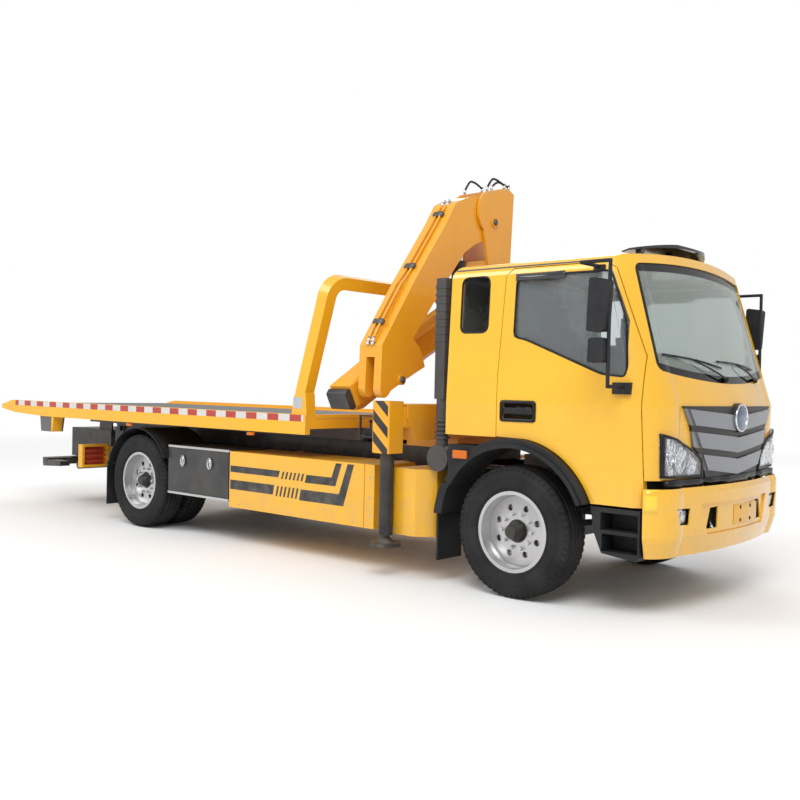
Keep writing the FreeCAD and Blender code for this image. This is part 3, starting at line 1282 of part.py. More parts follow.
def tilt_frame():
    """Two beams on the sub frame with rollers and ties; they turn about the pin at the chassis end."""
    low = D.rail_top + D.sub_height + D.tilt_gap
    top = D.member_low - D.slide_gap
    beams = []
    for i, s in enumerate((1, -1)):
        y = sorted_span(s, D.rail_y - D.tilt_width, D.rail_y)
        beams.append(box(f"tilt_beam{i}", (D.tilt_rear, D.tilt_front), y, (low, top)))
        ear = prism(f"pivot_ear{i}", "XZ", [
            (D.pivot_x - 70, D.pivot_z), (D.pivot_x + 70, D.pivot_z), (D.pivot_x + 110, low + 30),
            (D.pivot_x - 110, low + 30),
        ], sorted_span(s, D.rail_y + 4, D.rail_y + 18), {0: 70.5})
        beams.append(ear)
        beams.append(box(f"ear_foot{i}", (D.pivot_x - 100, D.pivot_x + 100), sorted_span(s, D.rail_y - 8, D.rail_y + 5),
                         (low, low + 40)))
    inner = D.rail_y - D.tilt_width + 4
    ties = [box(f"tilt_tie{i}", (x - 40, x + 40), (-inner, inner), (low + 14, low + 84))
            for i, x in enumerate((D.tilt_front - 60, size(-3300), size(-4900), D.pivot_x + 300, D.tilt_rear + 60))]
    ex, ez = D.ram_eye_x, D.ram_eye_z
    lug_tie = box("lug_tie", (ex - 70, ex + 70), (-inner, inner), (top - 50, top))
    lugs = [prism(f"tilt_lug{i}", "XZ", [
        (ex - 34, ez), (ex + 34, ez), (ex + 60, top - 40), (ex - 60, top - 40),
    ], (y, y + D.lug_space - D.eye_space), {0: 34.5}) for i, y in enumerate((
        -D.ram_y - D.lug_space, -D.ram_y + D.eye_space, D.ram_y - D.lug_space, D.ram_y + D.eye_space))]
    heads = [rod(f"pin_head{i}", "Y", (ex, y, ez), D.lug_space - D.eye_space + 10, D.ram_pin)
             for i, y in enumerate((-D.ram_y - D.lug_space - 10, -D.ram_y + D.eye_space,
                                    D.ram_y - D.lug_space - 10, D.ram_y + D.eye_space))]
    bore = rod("pivot_bore", "Y", (D.pivot_x, -D.rail_y - 60, D.pivot_z), D.rail_y * 2 + 120,
               D.pivot_pin + D.pin_gap)
    whole = cut("tilt_whole", fuse("tilt_parts", *beams, *ties, lug_tie, *lugs, *heads), bore)
    from_axle(whole, "tilt_frame")


dims(lift_half=395, lift_front=-6530, lift_rear=-7452, lift_low=560, lift_top=928, arm_half=90)
dims(arm_low=600, arm_height=150, arm_gap=0.5, cross_half=800, cross_rear=-7450, pad_front=-7020)


def underlift():
    """The black housing behind the chassis that guides the lifting arm, hung from the tilt frame."""
    outer = box("lift_outer", (D.lift_rear, D.lift_front), (-D.lift_half, D.lift_half), (D.lift_low, D.lift_top))
    guide = box("lift_guide", (D.lift_rear - 10, D.lift_front + 10), (-D.arm_half - D.arm_gap, D.arm_half + D.arm_gap),
                (D.arm_low - D.arm_gap, D.arm_low + D.arm_height + D.arm_gap))
    notch = box("lift_notch", (D.lift_rear - 1, D.lift_rear + 60), (-D.lift_half - 1, D.lift_half + 1),
                (D.lift_top - 1, D.lift_top + 10))
    hangers = [box(f"hanger{i}", (D.lift_front - 300, D.lift_front - 20),
                   sorted_span(s, D.rail_y - D.tilt_width + 4, D.rail_y - D.tilt_width + 24),
                   (D.lift_top - 2, D.rail_top + D.sub_height + D.tilt_gap))
               for i, s in enumerate((1, -1))]
    roller = rod("underrun_roller", "Y", (-7000, -560, 470), size(1120), size(52))
    roller_stays = [box(f"roller_stay{i}", (-7030, -6970), sorted_span(s, 300, 340), (480, D.lift_low + 2))
                    for i, s in enumerate((1, -1))]
    whole = fuse("underlift_whole", cut("lift_cut", outer, guide, notch), *hangers, roller, *roller_stays)
    from_axle(whole, "underlift")


def lift_arm():
    """The telescoping lifting arm with its cross bar and the two wheel pads."""
    arm = box("arm_beam", (D.lift_rear - 60, D.lift_front - 60), (-D.arm_half, D.arm_half),
              (D.arm_low, D.arm_low + D.arm_height))
    drop = box("arm_drop", (D.lift_rear - 60, D.lift_rear - 6), (-D.arm_half, D.arm_half),
               (470, D.arm_low + D.arm_height))
    foot = box("arm_foot", (D.lift_rear - 60, D.cross_rear + 110), (-D.arm_half, D.arm_half), (470, 545))
    cross = prism("cross_bar", "XZ", [
        (D.cross_rear, 470), (D.cross_rear + 110, 455), (D.cross_rear + 110, 540), (D.cross_rear, 550),
    ], (-D.cross_half, D.cross_half))
    pads = [prism(f"wheel_pad{i}", "XZ", [
        (D.cross_rear + 10, 440), (D.pad_front, 462), (D.pad_front, 520), (D.cross_rear + 10, 530),
    ], sorted_span(s, D.cross_half - 130, D.cross_half)) for i, s in enumerate((1, -1))]
    from_axle(fuse("arm_whole", arm, drop, foot, cross, *pads), "lift_arm")


dims(ram_x=-4080, ram_z=735, ram_eye_x=-3095, ram_eye_z=1000, ram_barrel=52, ram_rod=30, ram_pin=24, ram_y=150)
dims(eye_space=32, lug_space=46)


def ram(name, foot, eye, y, barrel_radius, rod_radius, pin, closed):
    """A cylinder in the plane of its foot and eye: barrel and rod, each with an eye across."""
    fx, fz = foot
    ex, ez = eye
    way = V(ex.value - fx.value, 0, ez.value - fz.value)
    unit = V(way).normalize()
    base = V(fx.value, y, fz.value)
    r, rr = barrel_radius.value, rod_radius.value
    length = way.Length
    barrel = Part.makeCylinder(r, closed, base + unit * (r * 0.7), unit)
    hole = Part.makeCylinder(rr + 0.5, closed, base + unit * (r * 1.4), unit)
    eye_barrel = Part.makeCylinder(r * 0.95, r * 1.2, base - V(0, r * 0.6, 0), V(0, 1, 0))
    pin_hole = Part.makeCylinder(pin, r * 2, base - V(0, r, 0), V(0, 1, 0))
    barrel = barrel.fuse(eye_barrel).cut(hole).cut(pin_hole)
    tip = base + unit * length
    inner = length - r * 2.2
    shaft = Part.makeCylinder(rr, inner, base + unit * (r * 2.0), unit)
    eye_rod = Part.makeCylinder(rr * 1.5, r * 1.1, tip - V(0, r * 0.55, 0), V(0, 1, 0))
    held_pin = Part.makeCylinder(pin, r * 1.16, tip - V(0, r * 0.58, 0), V(0, 1, 0))
    shaft = shaft.fuse([eye_rod, held_pin])
    first = doc.addObject("Part::Feature", name + "_barrel")
    first.Shape = barrel
    second = doc.addObject("Part::Feature", name + "_rod")
    second.Shape = shaft
    return first, second


def tilt_rams():
    """Two cylinders between the chassis and the tilt frame."""
    foot = D.ram_x, D.ram_z
    eye = D.ram_eye_x, D.ram_eye_z
    barrels, rods = [], []
    for i, s in enumerate((1, -1)):
        hole = D.ram_pin.value + D.pin_gap.value
        barrel, shaft = ram(f"tilt_ram{i}", foot, eye, s * D.ram_y.value, D.ram_barrel, D.ram_rod, hole, 820)
        barrels.append(barrel)
        rods.append(shaft)
    from_axle(group("tilt_barrel_pair", *barrels), "tilt_barrels")
    from_axle(group("tilt_rod_pair", *rods), "tilt_rods")


# The loader crane, folded across the truck behind the cab. Its booms lie in planes square to X.
dims(crane_ram_x=-1376, crane_foot_y=-50, crane_foot_z=1655, lug_gap=6, lug_thick=20)
dims(base_front=-1045, base_rear=-1300, base_low=1104, base_high=1400, base_half=1100, base_wall=12)
dims(mast_x=-1378, mast_y=360, slew_radius=210, mast_width=340, mast_top=2860)
dims(boom_front=-1250, boom_thick=252, cheek=24, cheek_gap=6, root_y=262, root_z=3080, root_pin=48)
dims(tip_y=-962, tip_z2=1598, tip_pin=42, fork_gap=92, arm_boom_gap=40, arm_thick=240)
dims(beam_gap=4, beam_inner=-120, leg_half=92, leg_y=1212, leg_top=1424, leg_low=1004)
dims(jack_radius=46, jack_rod=32, jack_low=345, foot_radius=130, foot_low=258, foot_thick=26, jack_gap=0.5)


def crane_base():
    """The outrigger box across the chassis, its pedestal and slewing ring, and the control levers."""
    w = D.base_wall
    outer = prism("base_outer", "YZ", [
        (-D.base_half, D.base_low + 186), (-D.base_half + 110, D.base_low), (D.base_half - 110, D.base_low),
        (D.base_half, D.base_low + 186), (D.base_half, D.base_high), (-D.base_half, D.base_high),
    ], (D.base_rear, D.base_front))
    room = box("base_room", (D.base_rear + w, D.base_front - w), (-D.base_half - 10, D.base_half + 10),
               (D.base_high - 190, D.base_high - w))
    saddle = box("base_saddle", (D.base_rear - 330, D.base_front - 10), (-D.rail_y, D.rail_y),
                 (D.rail_top + D.sub_height, D.base_low + 4))
    pedestal = box("pedestal", (D.mast_x - 215, D.base_rear + 2), (D.mast_y - 230, D.mast_y + 230),
                   (D.base_low - 60, D.base_high))
    collar = rod("slew_ring", "Z", (D.mast_x, D.mast_y, D.base_high - 6), size(48), D.slew_radius)
    panel = box("lever_panel", (D.base_rear - 210, D.base_rear + 2), (-1180, -860), (1112, 1128))
    levers = [rod(f"lever{i}", "Z", (D.base_rear - 60 - 26 * i, -1090, 1120), size(120), size(7)) for i in range(5)]
    bank = box("valve_bank", (D.base_rear - 200, D.base_rear - 30), (-1130, -900), (1120, 1190))
    guard = [box(f"lever_guard{i}", (x, x + 14), (-1180, -1166), (1112, 1300))
             for i, x in enumerate((D.base_rear - 210, D.base_rear - 14))]
    guard.append(box("lever_guard_top", (D.base_rear - 210, D.base_rear), (-1180, -1166), (1286, 1300)))
    whole = fuse("base_whole", cut("base_cut", outer, room), saddle, pedestal, collar, panel, bank,
                 *levers, *guard)
    from_axle(whole, "crane_base")


def outriggers():
    """A beam that slides out of the base, with the leg at its end, and the jack inside the leg."""
    w, gap = D.base_wall, D.beam_gap
    beam = box("outrigger_beam", (D.base_rear + w + gap, D.base_front - w - gap),
               (-D.leg_y + D.leg_half - 4, D.beam_inner), (D.base_high - 190 + D.slide_gap, D.base_high - w - gap))
    x = (D.base_rear + D.base_front) / 2 + 14
    leg = round_edges(box_body("leg_casing", (x - D.leg_half, x + D.leg_half),
                               (-D.leg_y - D.leg_half, -D.leg_y + D.leg_half), (D.leg_low, D.leg_top)),
                      size(16), runs_along(V(0, 0, 1)))
    barrel = rod("jack_barrel", "Z", (x, -D.leg_y, D.jack_low), D.leg_low - D.jack_low + 20, D.jack_radius + 12)
    bore = rod("jack_bore", "Z", (x, -D.leg_y, D.jack_low - 10), D.leg_top - D.jack_low - 40, D.jack_rod + D.jack_gap)
    right = cut("outrigger_whole", fuse("outrigger_parts", beam, leg, barrel), bore)
    from_axle(right, "outrigger_R")
    node(mirrored("outrigger_left", right), "outrigger_L")
    stem = rod("jack_stem", "Z", (x, -D.leg_y, D.foot_low + 10), D.leg_top - D.foot_low - 130, D.jack_rod)
    foot = rod("jack_foot", "Z", (x, -D.leg_y, D.foot_low), D.foot_thick, D.foot_radius)
    dome = doc.addObject("Part::Cone", "jack_dome")
    bind(dome, "Radius1", D.foot_radius * 0.62)
    bind(dome, "Radius2", D.jack_rod + 4)
    dome.Height = 40
    place(dome, x, -D.leg_y, D.foot_low + D.foot_thick)
    down = fuse("jack_whole", stem, foot, dome)
    from_axle(down, "jack_R")
    node(mirrored("jack_left", down), "jack_L")


def box_body(name, x, y, z):
    """A box as a body, so that its edges can be rounded."""
    return prism(name, "XY", [(x[0], y[0]), (x[1], y[0]), (x[1], y[1]), (x[0], y[1])], z)


def crane_column():
    """The mast: a tapered box on the slewing ring, with two cheeks at its head round the boom's root."""
    front = D.boom_front + D.cheek_gap + D.cheek
    rear = D.boom_front - D.boom_thick - D.cheek_gap - D.cheek
    y, half = D.mast_y, D.mast_width / 2
    foot = rod("mast_foot", "Z", (D.mast_x, y, D.base_high + 42 + D.seat), size(40), D.slew_radius - 12)
    mast = prism("mast", "YZ", [
        (y - half - 26, D.base_high + 80), (y + half + 26, D.base_high + 80), (y + half, 2300),
        (y + half, D.mast_top - 60), (y - half + 20, D.mast_top - 130), (y - half, 2300),
    ], (rear + D.cheek, front))
    cheeks = []
    for i, x in enumerate((rear, front - D.cheek)):
        cheeks.append(prism(f"cheek{i}", "YZ", [
            (y - half + 2, D.mast_top - 200), (y + half, D.mast_top - 200), (y + half + 40, 3385),
            (y + half - 70, 3432), (D.root_y - 130, 3345), (D.root_y - 150, D.root_z - 90),
        ], (x, x + D.cheek), {4: 210}))
    pin = rod("root_pin_rod", "X", (rear - 4, D.root_y, D.root_z), front - rear + 18, D.root_pin)
    lugs = [prism(f"mast_lug{i}", "YZ", [
        (y - half + 10, D.crane_foot_z - 155), (D.crane_foot_y - 30, D.crane_foot_z - 50),
        (D.crane_foot_y - 50, D.crane_foot_z), (D.crane_foot_y - 20, D.crane_foot_z + 50),
        (y - half + 10, D.crane_foot_z + 185),
    ], (x, x + D.lug_thick)) for i, x in enumerate((
        D.crane_ram_x - D.crane_barrel - D.lug_gap - D.lug_thick, D.crane_ram_x + D.crane_barrel + D.lug_gap))]
    reach = D.crane_barrel + D.lug_gap + D.lug_thick + 4
    ram_pin = rod("mast_ram_pin", "X", (D.crane_ram_x - reach, D.crane_foot_y, D.crane_foot_z), reach * 2,
                  D.crane_rod * 0.8 - D.pin_gap)
    whole = fuse("mast_whole", foot, mast, *cheeks, pin, *lugs, ram_pin)
    from_axle(whole, "crane_column")


dims(crane_barrel=64, crane_rod=38, boom_eye_y=-60, boom_eye_z=2905)


def inner_boom():
    """The inner boom: a kinked box whose root turns between the mast cheeks, with a forked lower end."""
    body = prism("boom_body", "YZ", [
        (-1150, 1447), (-1085, 1505), (-905, 1600), (-655, 1716), (-712, 1858), (-818, 1950), (-473, 2370),
        (-130, 2760), (20, 2850), (160, 2905), (D.root_y + 120, D.root_z - 90), (D.root_y + 110, D.root_z + 120),
        (0, 3282), (-277, 3175), (-398, 2990), (-811, 2442), (-1200, 1880), (-1212, 1545),
    ], (D.boom_front - D.boom_thick, D.boom_front), {0: 160, 10: 168, 12: 900, 17: 84})
    gap = D.boom_front - D.boom_thick / 2
    slot = box("fork_slot", (gap - D.fork_gap / 2, gap + D.fork_gap / 2), (-1300, -930), (1400, 1780))
    bores = [rod("root_bore", "X", (D.boom_front - D.boom_thick - 5, D.root_y, D.root_z), D.boom_thick + 10,
                 D.root_pin + D.pin_gap)]
    tip = rod("tip_pin_rod", "X", (D.boom_front - D.boom_thick - D.arm_boom_gap - D.arm_thick - 12, D.tip_y, D.tip_z2),
              D.boom_thick + D.arm_boom_gap + D.arm_thick + 30, D.tip_pin)
    ridge = prism("boom_ridge", "YZ", [
        (-1180, 1898), (-834, 2396), (-853, 2412), (-1203, 1915),
    ], (gap - 40, gap + 40))
    knee = prism("ram_slot", "YZ", [
        (-260, 2480), (430, 2780), (430, 3062), (285, 3022), (180, 3016), (100, 3052), (-160, 3044), (-280, 2800),
    ], (gap - 58, gap + 58))
    whole = cut("boom_whole", fuse("boom_parts", body, tip), slot_keep(slot, gap), *bores, knee)
    whole = fuse("boom_with_ridge", whole, ridge)
    from_axle(whole, "inner_boom")


def slot_keep(slot, gap):
    """The fork's gap, less the pin that crosses it."""
    pin = rod("slot_pin", "X", (gap - D.fork_gap, D.tip_y, D.tip_z2), D.fork_gap * 2, D.tip_pin)
    return cut("fork_slot_open", slot, pin)


def boom_ram():
    """The lifting cylinder between the mast and the inner boom."""
    fy, fz = D.crane_foot_y, D.crane_foot_z
    ey, ez = D.boom_eye_y, D.boom_eye_z
    way = V(0, ey.value - fy.value, ez.value - fz.value)
    unit = V(way).normalize()
    x = D.crane_ram_x.value
    base = V(x, fy.value, fz.value)
    r, rr = D.crane_barrel.value, D.crane_rod.value
    barrel = Part.makeCylinder(r, way.Length - 260, base + unit * (r * 0.8), unit)
    eye = Part.makeCylinder(r * 0.9, 80, base - V(40, 0, 0), V(1, 0, 0))
    bore = Part.makeCylinder(rr + 0.5, way.Length, base + unit * (r * 1.6), unit)
    hole = Part.makeCylinder(rr * 0.8, 200, base - V(100, 0, 0), V(1, 0, 0))
    first = doc.addObject("Part::Feature", "boom_ram_barrel")
    first.Shape = barrel.fuse(eye).cut(bore).cut(hole)
    tip = base + way
    shaft = Part.makeCylinder(rr, way.Length - r * 1.8 - 20, base + unit * (r * 1.8), unit)
    end = Part.makeCylinder(rr * 1.4, 80, tip - V(40, 0, 0), V(1, 0, 0))
    end_hole = Part.makeCylinder(rr * 0.8, 200, tip - V(100, 0, 0), V(1, 0, 0))
    second = doc.addObject("Part::Feature", "boom_ram_rod")
    second.Shape = shaft.fuse(end).cut(end_hole)
    from_axle(first, "boom_barrel")
    from_axle(second, "boom_rod")


dims(arm_angle=27.5, arm_length=2330, arm_deep=290, arm_back=300, reach_wall=12, reach_gap=0.5, reach_out=130)


def outer_boom():
    """The outer boom beside the inner one: a six sided telescope box with a broad root and an end cap."""
    rear = D.boom_front - D.boom_thick - D.arm_boom_gap - D.arm_thick
    front = rear + D.arm_thick
    half = D.arm_deep / 2
    slope = D.arm_angle
    # Drawn level along Y from the pin, then turned up by the slope
    body = prism("arm_body", "YZ", [
        (-D.arm_back, -half + 6), (-D.arm_back + 120, -half - 40), (180, -half - 20), (420, -half), (D.arm_length, -half),
        (D.arm_length, half), (60, half), (-D.arm_back, half - 60),
    ], (rear, front))
    chamfers = []
    for i, (x, s) in enumerate(((rear, 1), (front, -1))):
        edges = (((0, half), (66, half), (0, half - 60)), ((-1, -half - 60), (75, -half - 60), (-1, -half + 41)))
        for j, edge in enumerate(edges):
            chamfers.append(prism(f"arm_edge{i}{j}", "XZ", [(x + s * off, z) for off, z in edge],
                                  (D.tip_pin - 500, D.arm_length + 10)))
    room = box("arm_room", (rear + D.reach_wall + 20, front - D.reach_wall - 20), (260, D.arm_length + 10),
               (-half + D.reach_wall, half - D.reach_wall - 16))
    bore = rod("arm_bore", "X", (rear - 5, 0, 0), D.arm_thick + 10, D.tip_pin + D.pin_gap)
    cap = round_edges(prism("arm_cap", "YZ", [
        (-D.arm_back - 74, -half + 50), (-D.arm_back + 1, -half + 10), (-D.arm_back + 1, half - 62),
        (-D.arm_back - 74, half - 96),
    ], (rear + 8, front - 8)), size(26), runs_along(V(1, 0, 0)))
    whole = cut("arm_whole", fuse("arm_parts", body, cap), bore, room, *chamfers)
    tilt_about_tip(whole, "outer_boom")
    gap = D.reach_gap
    slide_box = box("reach_box", (rear + D.reach_wall + 20 + gap, front - D.reach_wall - 20 - gap),
                    (320, D.arm_length + D.reach_out),
                    (-half + D.reach_wall + gap, half - D.reach_wall - 16 - gap))
    head = box("reach_head", (rear + 20, front - 20), (D.arm_length + 12, D.arm_length + D.reach_out),
               (-half + 4, half - 20))
    lug = prism("hook_lug", "YZ", [
        (D.arm_length + D.reach_out - 10, -60), (D.arm_length + D.reach_out + 70, -40),
        (D.arm_length + D.reach_out + 70, 40), (D.arm_length + D.reach_out - 10, 60),
    ], ((rear + front) / 2 - 20, (rear + front) / 2 + 20), {1: 44})
    eye = rod("hook_eye", "X", (rear, D.arm_length + D.reach_out + 36, 0), D.arm_thick, size(20))
    whole = cut("reach_whole", fuse("reach_parts", slide_box, head, lug), eye)
    tilt_about_tip(whole, "boom_extension")


def tilt_about_tip(thing, name):
    """Turns a piece drawn level from the lower pin up to the folded slope, and puts it on that pin."""
    thing.Label = name
    thing.Placement = FreeCAD.Placement(V(0, 0, 0), FreeCAD.Rotation(V(1, 0, 0), D.arm_angle.value))
    bind(thing, "Placement.Rotation.Angle", D.arm_angle)
    place(thing, D.front_axle, D.tip_y, D.tip_z2)
    NODES.append(thing)


def owner_name(thing):
    """A piece's name with that of the body it is in."""
    owner = thing.getParentGeoFeatureGroup()
    return f"{owner.Name}/{thing.Name}" if owner else thing.Name


def finish():
    """Checks every piece of the document and writes each node's file."""
    doc.recompute()
    failed = [owner_name(t) for t in doc.Objects if "Invalid" in t.State or "Error" in t.State]
    if failed:
        raise RuntimeError(f"these failed: {failed}")
    os.makedirs("parts", exist_ok=True)
    for thing in NODES:
        shape = thing.Shape
        if shape.isNull() or not shape.isValid():
            raise RuntimeError(f"{thing.Label} has no sound shape")
        shape.exportStep(f"parts/{thing.Label}.step")
        print(thing.Label, len(shape.Solids), round(shape.Volume / 1e6, 3))


front_wheels()
rear_wheels()
knuckles()
front_axle()
rear_axle()
chassis_frame()
sub_frame()
engine_and_shaft()
cab()
grille()
headlamps()
cab_glass()
door_glass()
mirrors()
roof_visor()
wheel_arches()
seats()
dashboard()
front_bumper()
front_fairings()
side_skirts()
tool_boxes()
rear_fenders()
tail_lamps()
intake_stack()
bed_deck()
headboard()
tilt_frame()
underlift()
lift_arm()
tilt_rams()
crane_base()
outriggers()
crane_column()
inner_boom()
boom_ram()
outer_boom()
finish()
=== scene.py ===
# %% [markdown]
# # A flatbed tow truck with a loader crane
# This file dresses a truck that was built in CAD. The CAD model gives every size and every moving body. Here
# it gets its paint, rubber, glass and lamps, and the thin pieces that only a picture needs, such as wipers,
# stripes and reflective tape. Each step says what the real thing is, and why it is made this way.

import math

import bmesh
import bpy
from mathutils import Matrix, Vector
from mathutils.bvhtree import BVHTree


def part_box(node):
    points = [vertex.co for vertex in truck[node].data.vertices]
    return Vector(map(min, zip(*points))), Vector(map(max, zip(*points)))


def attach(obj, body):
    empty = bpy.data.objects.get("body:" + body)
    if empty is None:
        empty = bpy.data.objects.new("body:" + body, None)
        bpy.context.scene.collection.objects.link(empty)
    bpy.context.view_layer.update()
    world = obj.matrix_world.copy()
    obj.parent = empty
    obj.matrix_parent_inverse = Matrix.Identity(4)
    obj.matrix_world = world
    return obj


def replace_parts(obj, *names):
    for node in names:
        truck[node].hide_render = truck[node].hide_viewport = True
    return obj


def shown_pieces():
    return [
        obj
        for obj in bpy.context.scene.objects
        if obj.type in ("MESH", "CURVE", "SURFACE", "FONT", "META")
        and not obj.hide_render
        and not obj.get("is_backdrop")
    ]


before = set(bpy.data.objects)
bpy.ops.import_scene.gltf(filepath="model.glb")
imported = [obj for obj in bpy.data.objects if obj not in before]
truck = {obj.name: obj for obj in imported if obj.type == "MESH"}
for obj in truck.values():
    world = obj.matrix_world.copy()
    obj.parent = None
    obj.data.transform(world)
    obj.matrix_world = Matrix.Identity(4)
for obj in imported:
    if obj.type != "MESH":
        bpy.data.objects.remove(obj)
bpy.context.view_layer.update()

# %% [markdown]
# ## Where things are
# The truck was drawn from its front axle, so most places here are counted from that axle too. Its distance
# from the origin is read from the front tyre, which is centred on it.

# %% The front axle
tyre_low, tyre_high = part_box("tyre_front_R")
AXLE = (tyre_low.x + tyre_high.x) / 2
WHEEL_Z = (tyre_low.z + tyre_high.z) / 2
print("front axle at x =", round(AXLE, 4), "and wheel centres at z =", round(WHEEL_Z, 3))

# %% [markdown]
# ## The camera
# The photograph was taken from the right and a little ahead of the cab, at chest height, with a lens a little
# longer than normal. The camera's own turn is built from three angles, the way a tripod head has them: pan, a
# slight tilt down, and a slight lean.

# %% Camera
PAN, TILT, LEAN = math.radians(41.316), math.radians(0.708), math.radians(1.2805)
CAMERA_PLACE = Vector((AXLE + 3.9645, -6.9002, 1.5277))
SENSOR_WIDTH, LENS = 36, 42.715


def tripod(pan, tilt, lean):
    ahead = Vector((-math.sin(pan) * math.cos(tilt), math.cos(pan) * math.cos(tilt), -math.sin(tilt)))
    right = Vector((math.cos(pan), math.sin(pan), 0))
    up = right.cross(ahead)
    across = right * math.cos(lean) + up * math.sin(lean)
    above = up * math.cos(lean) - right * math.sin(lean)
    return Matrix((across, above, -ahead)).transposed()


camera = bpy.data.objects.new("camera", bpy.data.cameras.new("camera"))
bpy.context.scene.collection.objects.link(camera)
camera.matrix_world = Matrix.Translation(CAMERA_PLACE) @ tripod(PAN, TILT, LEAN).to_4x4()
camera.data.sensor_width = SENSOR_WIDTH
camera.data.lens = LENS
camera.data.clip_end = 200
bpy.context.scene.camera = camera
bpy.context.scene.view_settings.view_transform = "Standard"
print("camera", [round(v, 3) for v in camera.location], "lens", camera.data.lens)

# %% [markdown]
# ## The studio
# The truck stands on a pale floor under soft, even light. Three large lamps and a bright sky do that: the sky
# fills the shadows, a broad lamp from above and ahead gives the paint its long highlights, and the weaker ones
# lift the side and the back. The floor takes the truck's shadow, and further out it fades into white.

# %% [markdown]
# A material is a tree of small steps, called nodes. The helpers below add a node in one line, and let a rule
# such as `abs(y) < wide` be written as it is read: each sign in it becomes a node.

# %% Nodes and arithmetic
class Value:
    """A number that a shader works out at every point. Arithmetic with it adds a math node."""

    def __init__(self, tree, socket):
        self.tree = tree
        self.socket = socket

    def step(self, operation, *values):
        made = add(self.tree, "Math", operation=operation)
        for socket, value in zip(made.inputs, values):
            feed(self.tree, socket, value)
        return Value(self.tree, made.outputs[0])

    def __add__(self, other):
        return self.step("ADD", self, other)

    def __sub__(self, other):
        return self.step("SUBTRACT", self, other)

    def __rsub__(self, other):
        return self.step("SUBTRACT", other, self)

    def __mul__(self, other):
        return self.step("MULTIPLY", self, other)

    def __truediv__(self, other):
        return self.step("DIVIDE", self, other)

    def __abs__(self):
        return self.step("ABSOLUTE", self)

    def __lt__(self, other):
        return self.step("LESS_THAN", self, other)

    def __gt__(self, other):
        return self.step("GREATER_THAN", self, other)

    def __or__(self, other):
        return self.step("MAXIMUM", self, other)

    def fraction(self):
        return self.step("FRACT", self)

    def root(self):
        return self.step("SQRT", self)

    def clamped(self):
        self.socket.node.use_clamp = True
        return self


def feed(tree, socket, value):
    """Links a socket to a value that is worked out, or sets it to a number or a colour."""
    value = value.socket if isinstance(value, Value) else value
    if isinstance(value, bpy.types.NodeSocket):
        tree.links.new(value, socket)
    elif socket.type == "RGBA":
        socket.default_value = (*value[:3], 1)
    else:
        socket.default_value = value


def add(tree, kind, **settings):
    """Adds a node. A setting is the name of a property or of a socket."""
    made = tree.nodes.new("ShaderNode" + kind)
    for name, value in settings.items():
        if hasattr(made, name) and name not in made.inputs:
            setattr(made, name, value)
        else:
            feed(tree, made.inputs[name.replace("_", " ")], value)
    return made


def shader_tree(owner):
    owner.use_nodes = True
    owner.node_tree.nodes.clear()
    return owner.node_tree


def blend(tree, share, first, second):
    """A shader between two shaders."""
    made = add(tree, "MixShader", Fac=share)
    tree.links.new(first.outputs[0], made.inputs[1])
    tree.links.new(second.outputs[0], made.inputs[2])
    return made


WHITE = (1, 1, 1)
FILL_LIGHT = 0.70
FLOOR_TONE = (0.88, 0.88, 0.88)
FADE_START, FADE_END = 7.0, 20.0

world = bpy.data.worlds.new("studio")
bpy.context.scene.world = world
sky = shader_tree(world)
rays = add(sky, "LightPath")
seen = Value(sky, rays.outputs["Is Camera Ray"]) | rays.outputs["Is Transmission Ray"]
dim = add(sky, "Background", Color=WHITE, Strength=FILL_LIGHT)
white = add(sky, "Background", Color=WHITE, Strength=1.0)
add(sky, "OutputWorld", Surface=blend(sky, seen, dim, white).outputs[0])

bpy.ops.mesh.primitive_plane_add(size=400, location=(0, 0, -0.001))
floor = bpy.context.object
floor.name = "studio_floor"
floor_paint = bpy.data.materials.new("studio_floor")
tree = shader_tree(floor_paint)
matte = add(tree, "BsdfPrincipled", Base_Color=FLOOR_TONE, Roughness=0.9)
away = add(tree, "VectorMath", operation="LENGTH", Vector=add(tree, "TexCoord").outputs["Object"])
fade = add(tree, "MapRange", Value=away.outputs["Value"], From_Min=FADE_START, From_Max=FADE_END)
glow = add(tree, "Emission", Color=WHITE, Strength=1.0)
add(tree, "OutputMaterial", Surface=blend(tree, fade.outputs[0], matte, glow).outputs[0])
floor.data.materials.append(floor_paint)
floor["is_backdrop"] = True
print("sky and floor ready")


# %% Lamps
def lamp(name, place, aim, size, power):
    light = bpy.data.lights.new(name, "AREA")
    light.shape = "DISK"
    light.size = size
    light.energy = power
    made = bpy.data.objects.new(name, light)
    bpy.context.scene.collection.objects.link(made)
    made.location = place
    made.rotation_euler = (Vector(aim) - Vector(place)).to_track_quat("-Z", "Y").to_euler()


lamp("key", (9, -10, 13), (0, 0, 1), 9, 1500)
lamp("side", (-8, -12, 12), (-1, 0, 1), 9, 900)
lamp("back", (-4, 13, 10), (0, 0, 1.5), 10, 700)
print("three lamps")

# %% [markdown]
# ## Paint
# Vehicle paint is a colour under a clear coat. Close up it is never one flat tone: the tone drifts a little
# over a panel, dust settles low down, and the surface has a fine orange peel that softens its reflections. All
# of that is noise that is read at each point of the truck itself, so it stays on the panel when it moves.

# %% A paint
def mix(tree, amount, first, second):
    """A colour between two colours."""
    made = add(tree, "Mix", data_type="RGBA")
    for number, value in ((0, amount), (6, first), (7, second)):
        feed(tree, made.inputs[number], value)
    return Value(tree, made.outputs[2])


def place_of(tree):
    """The point on the truck, and its three parts."""
    point = add(tree, "TexCoord").outputs["Object"]
    parts = add(tree, "SeparateXYZ", Vector=point)
    return point, *(Value(tree, socket) for socket in parts.outputs)


def noise(tree, point, scale, detail=4.0, rough=0.55):
    made = add(tree, "TexNoise", Vector=point, Scale=scale, Detail=detail, Roughness=rough)
    return Value(tree, made.outputs[0])


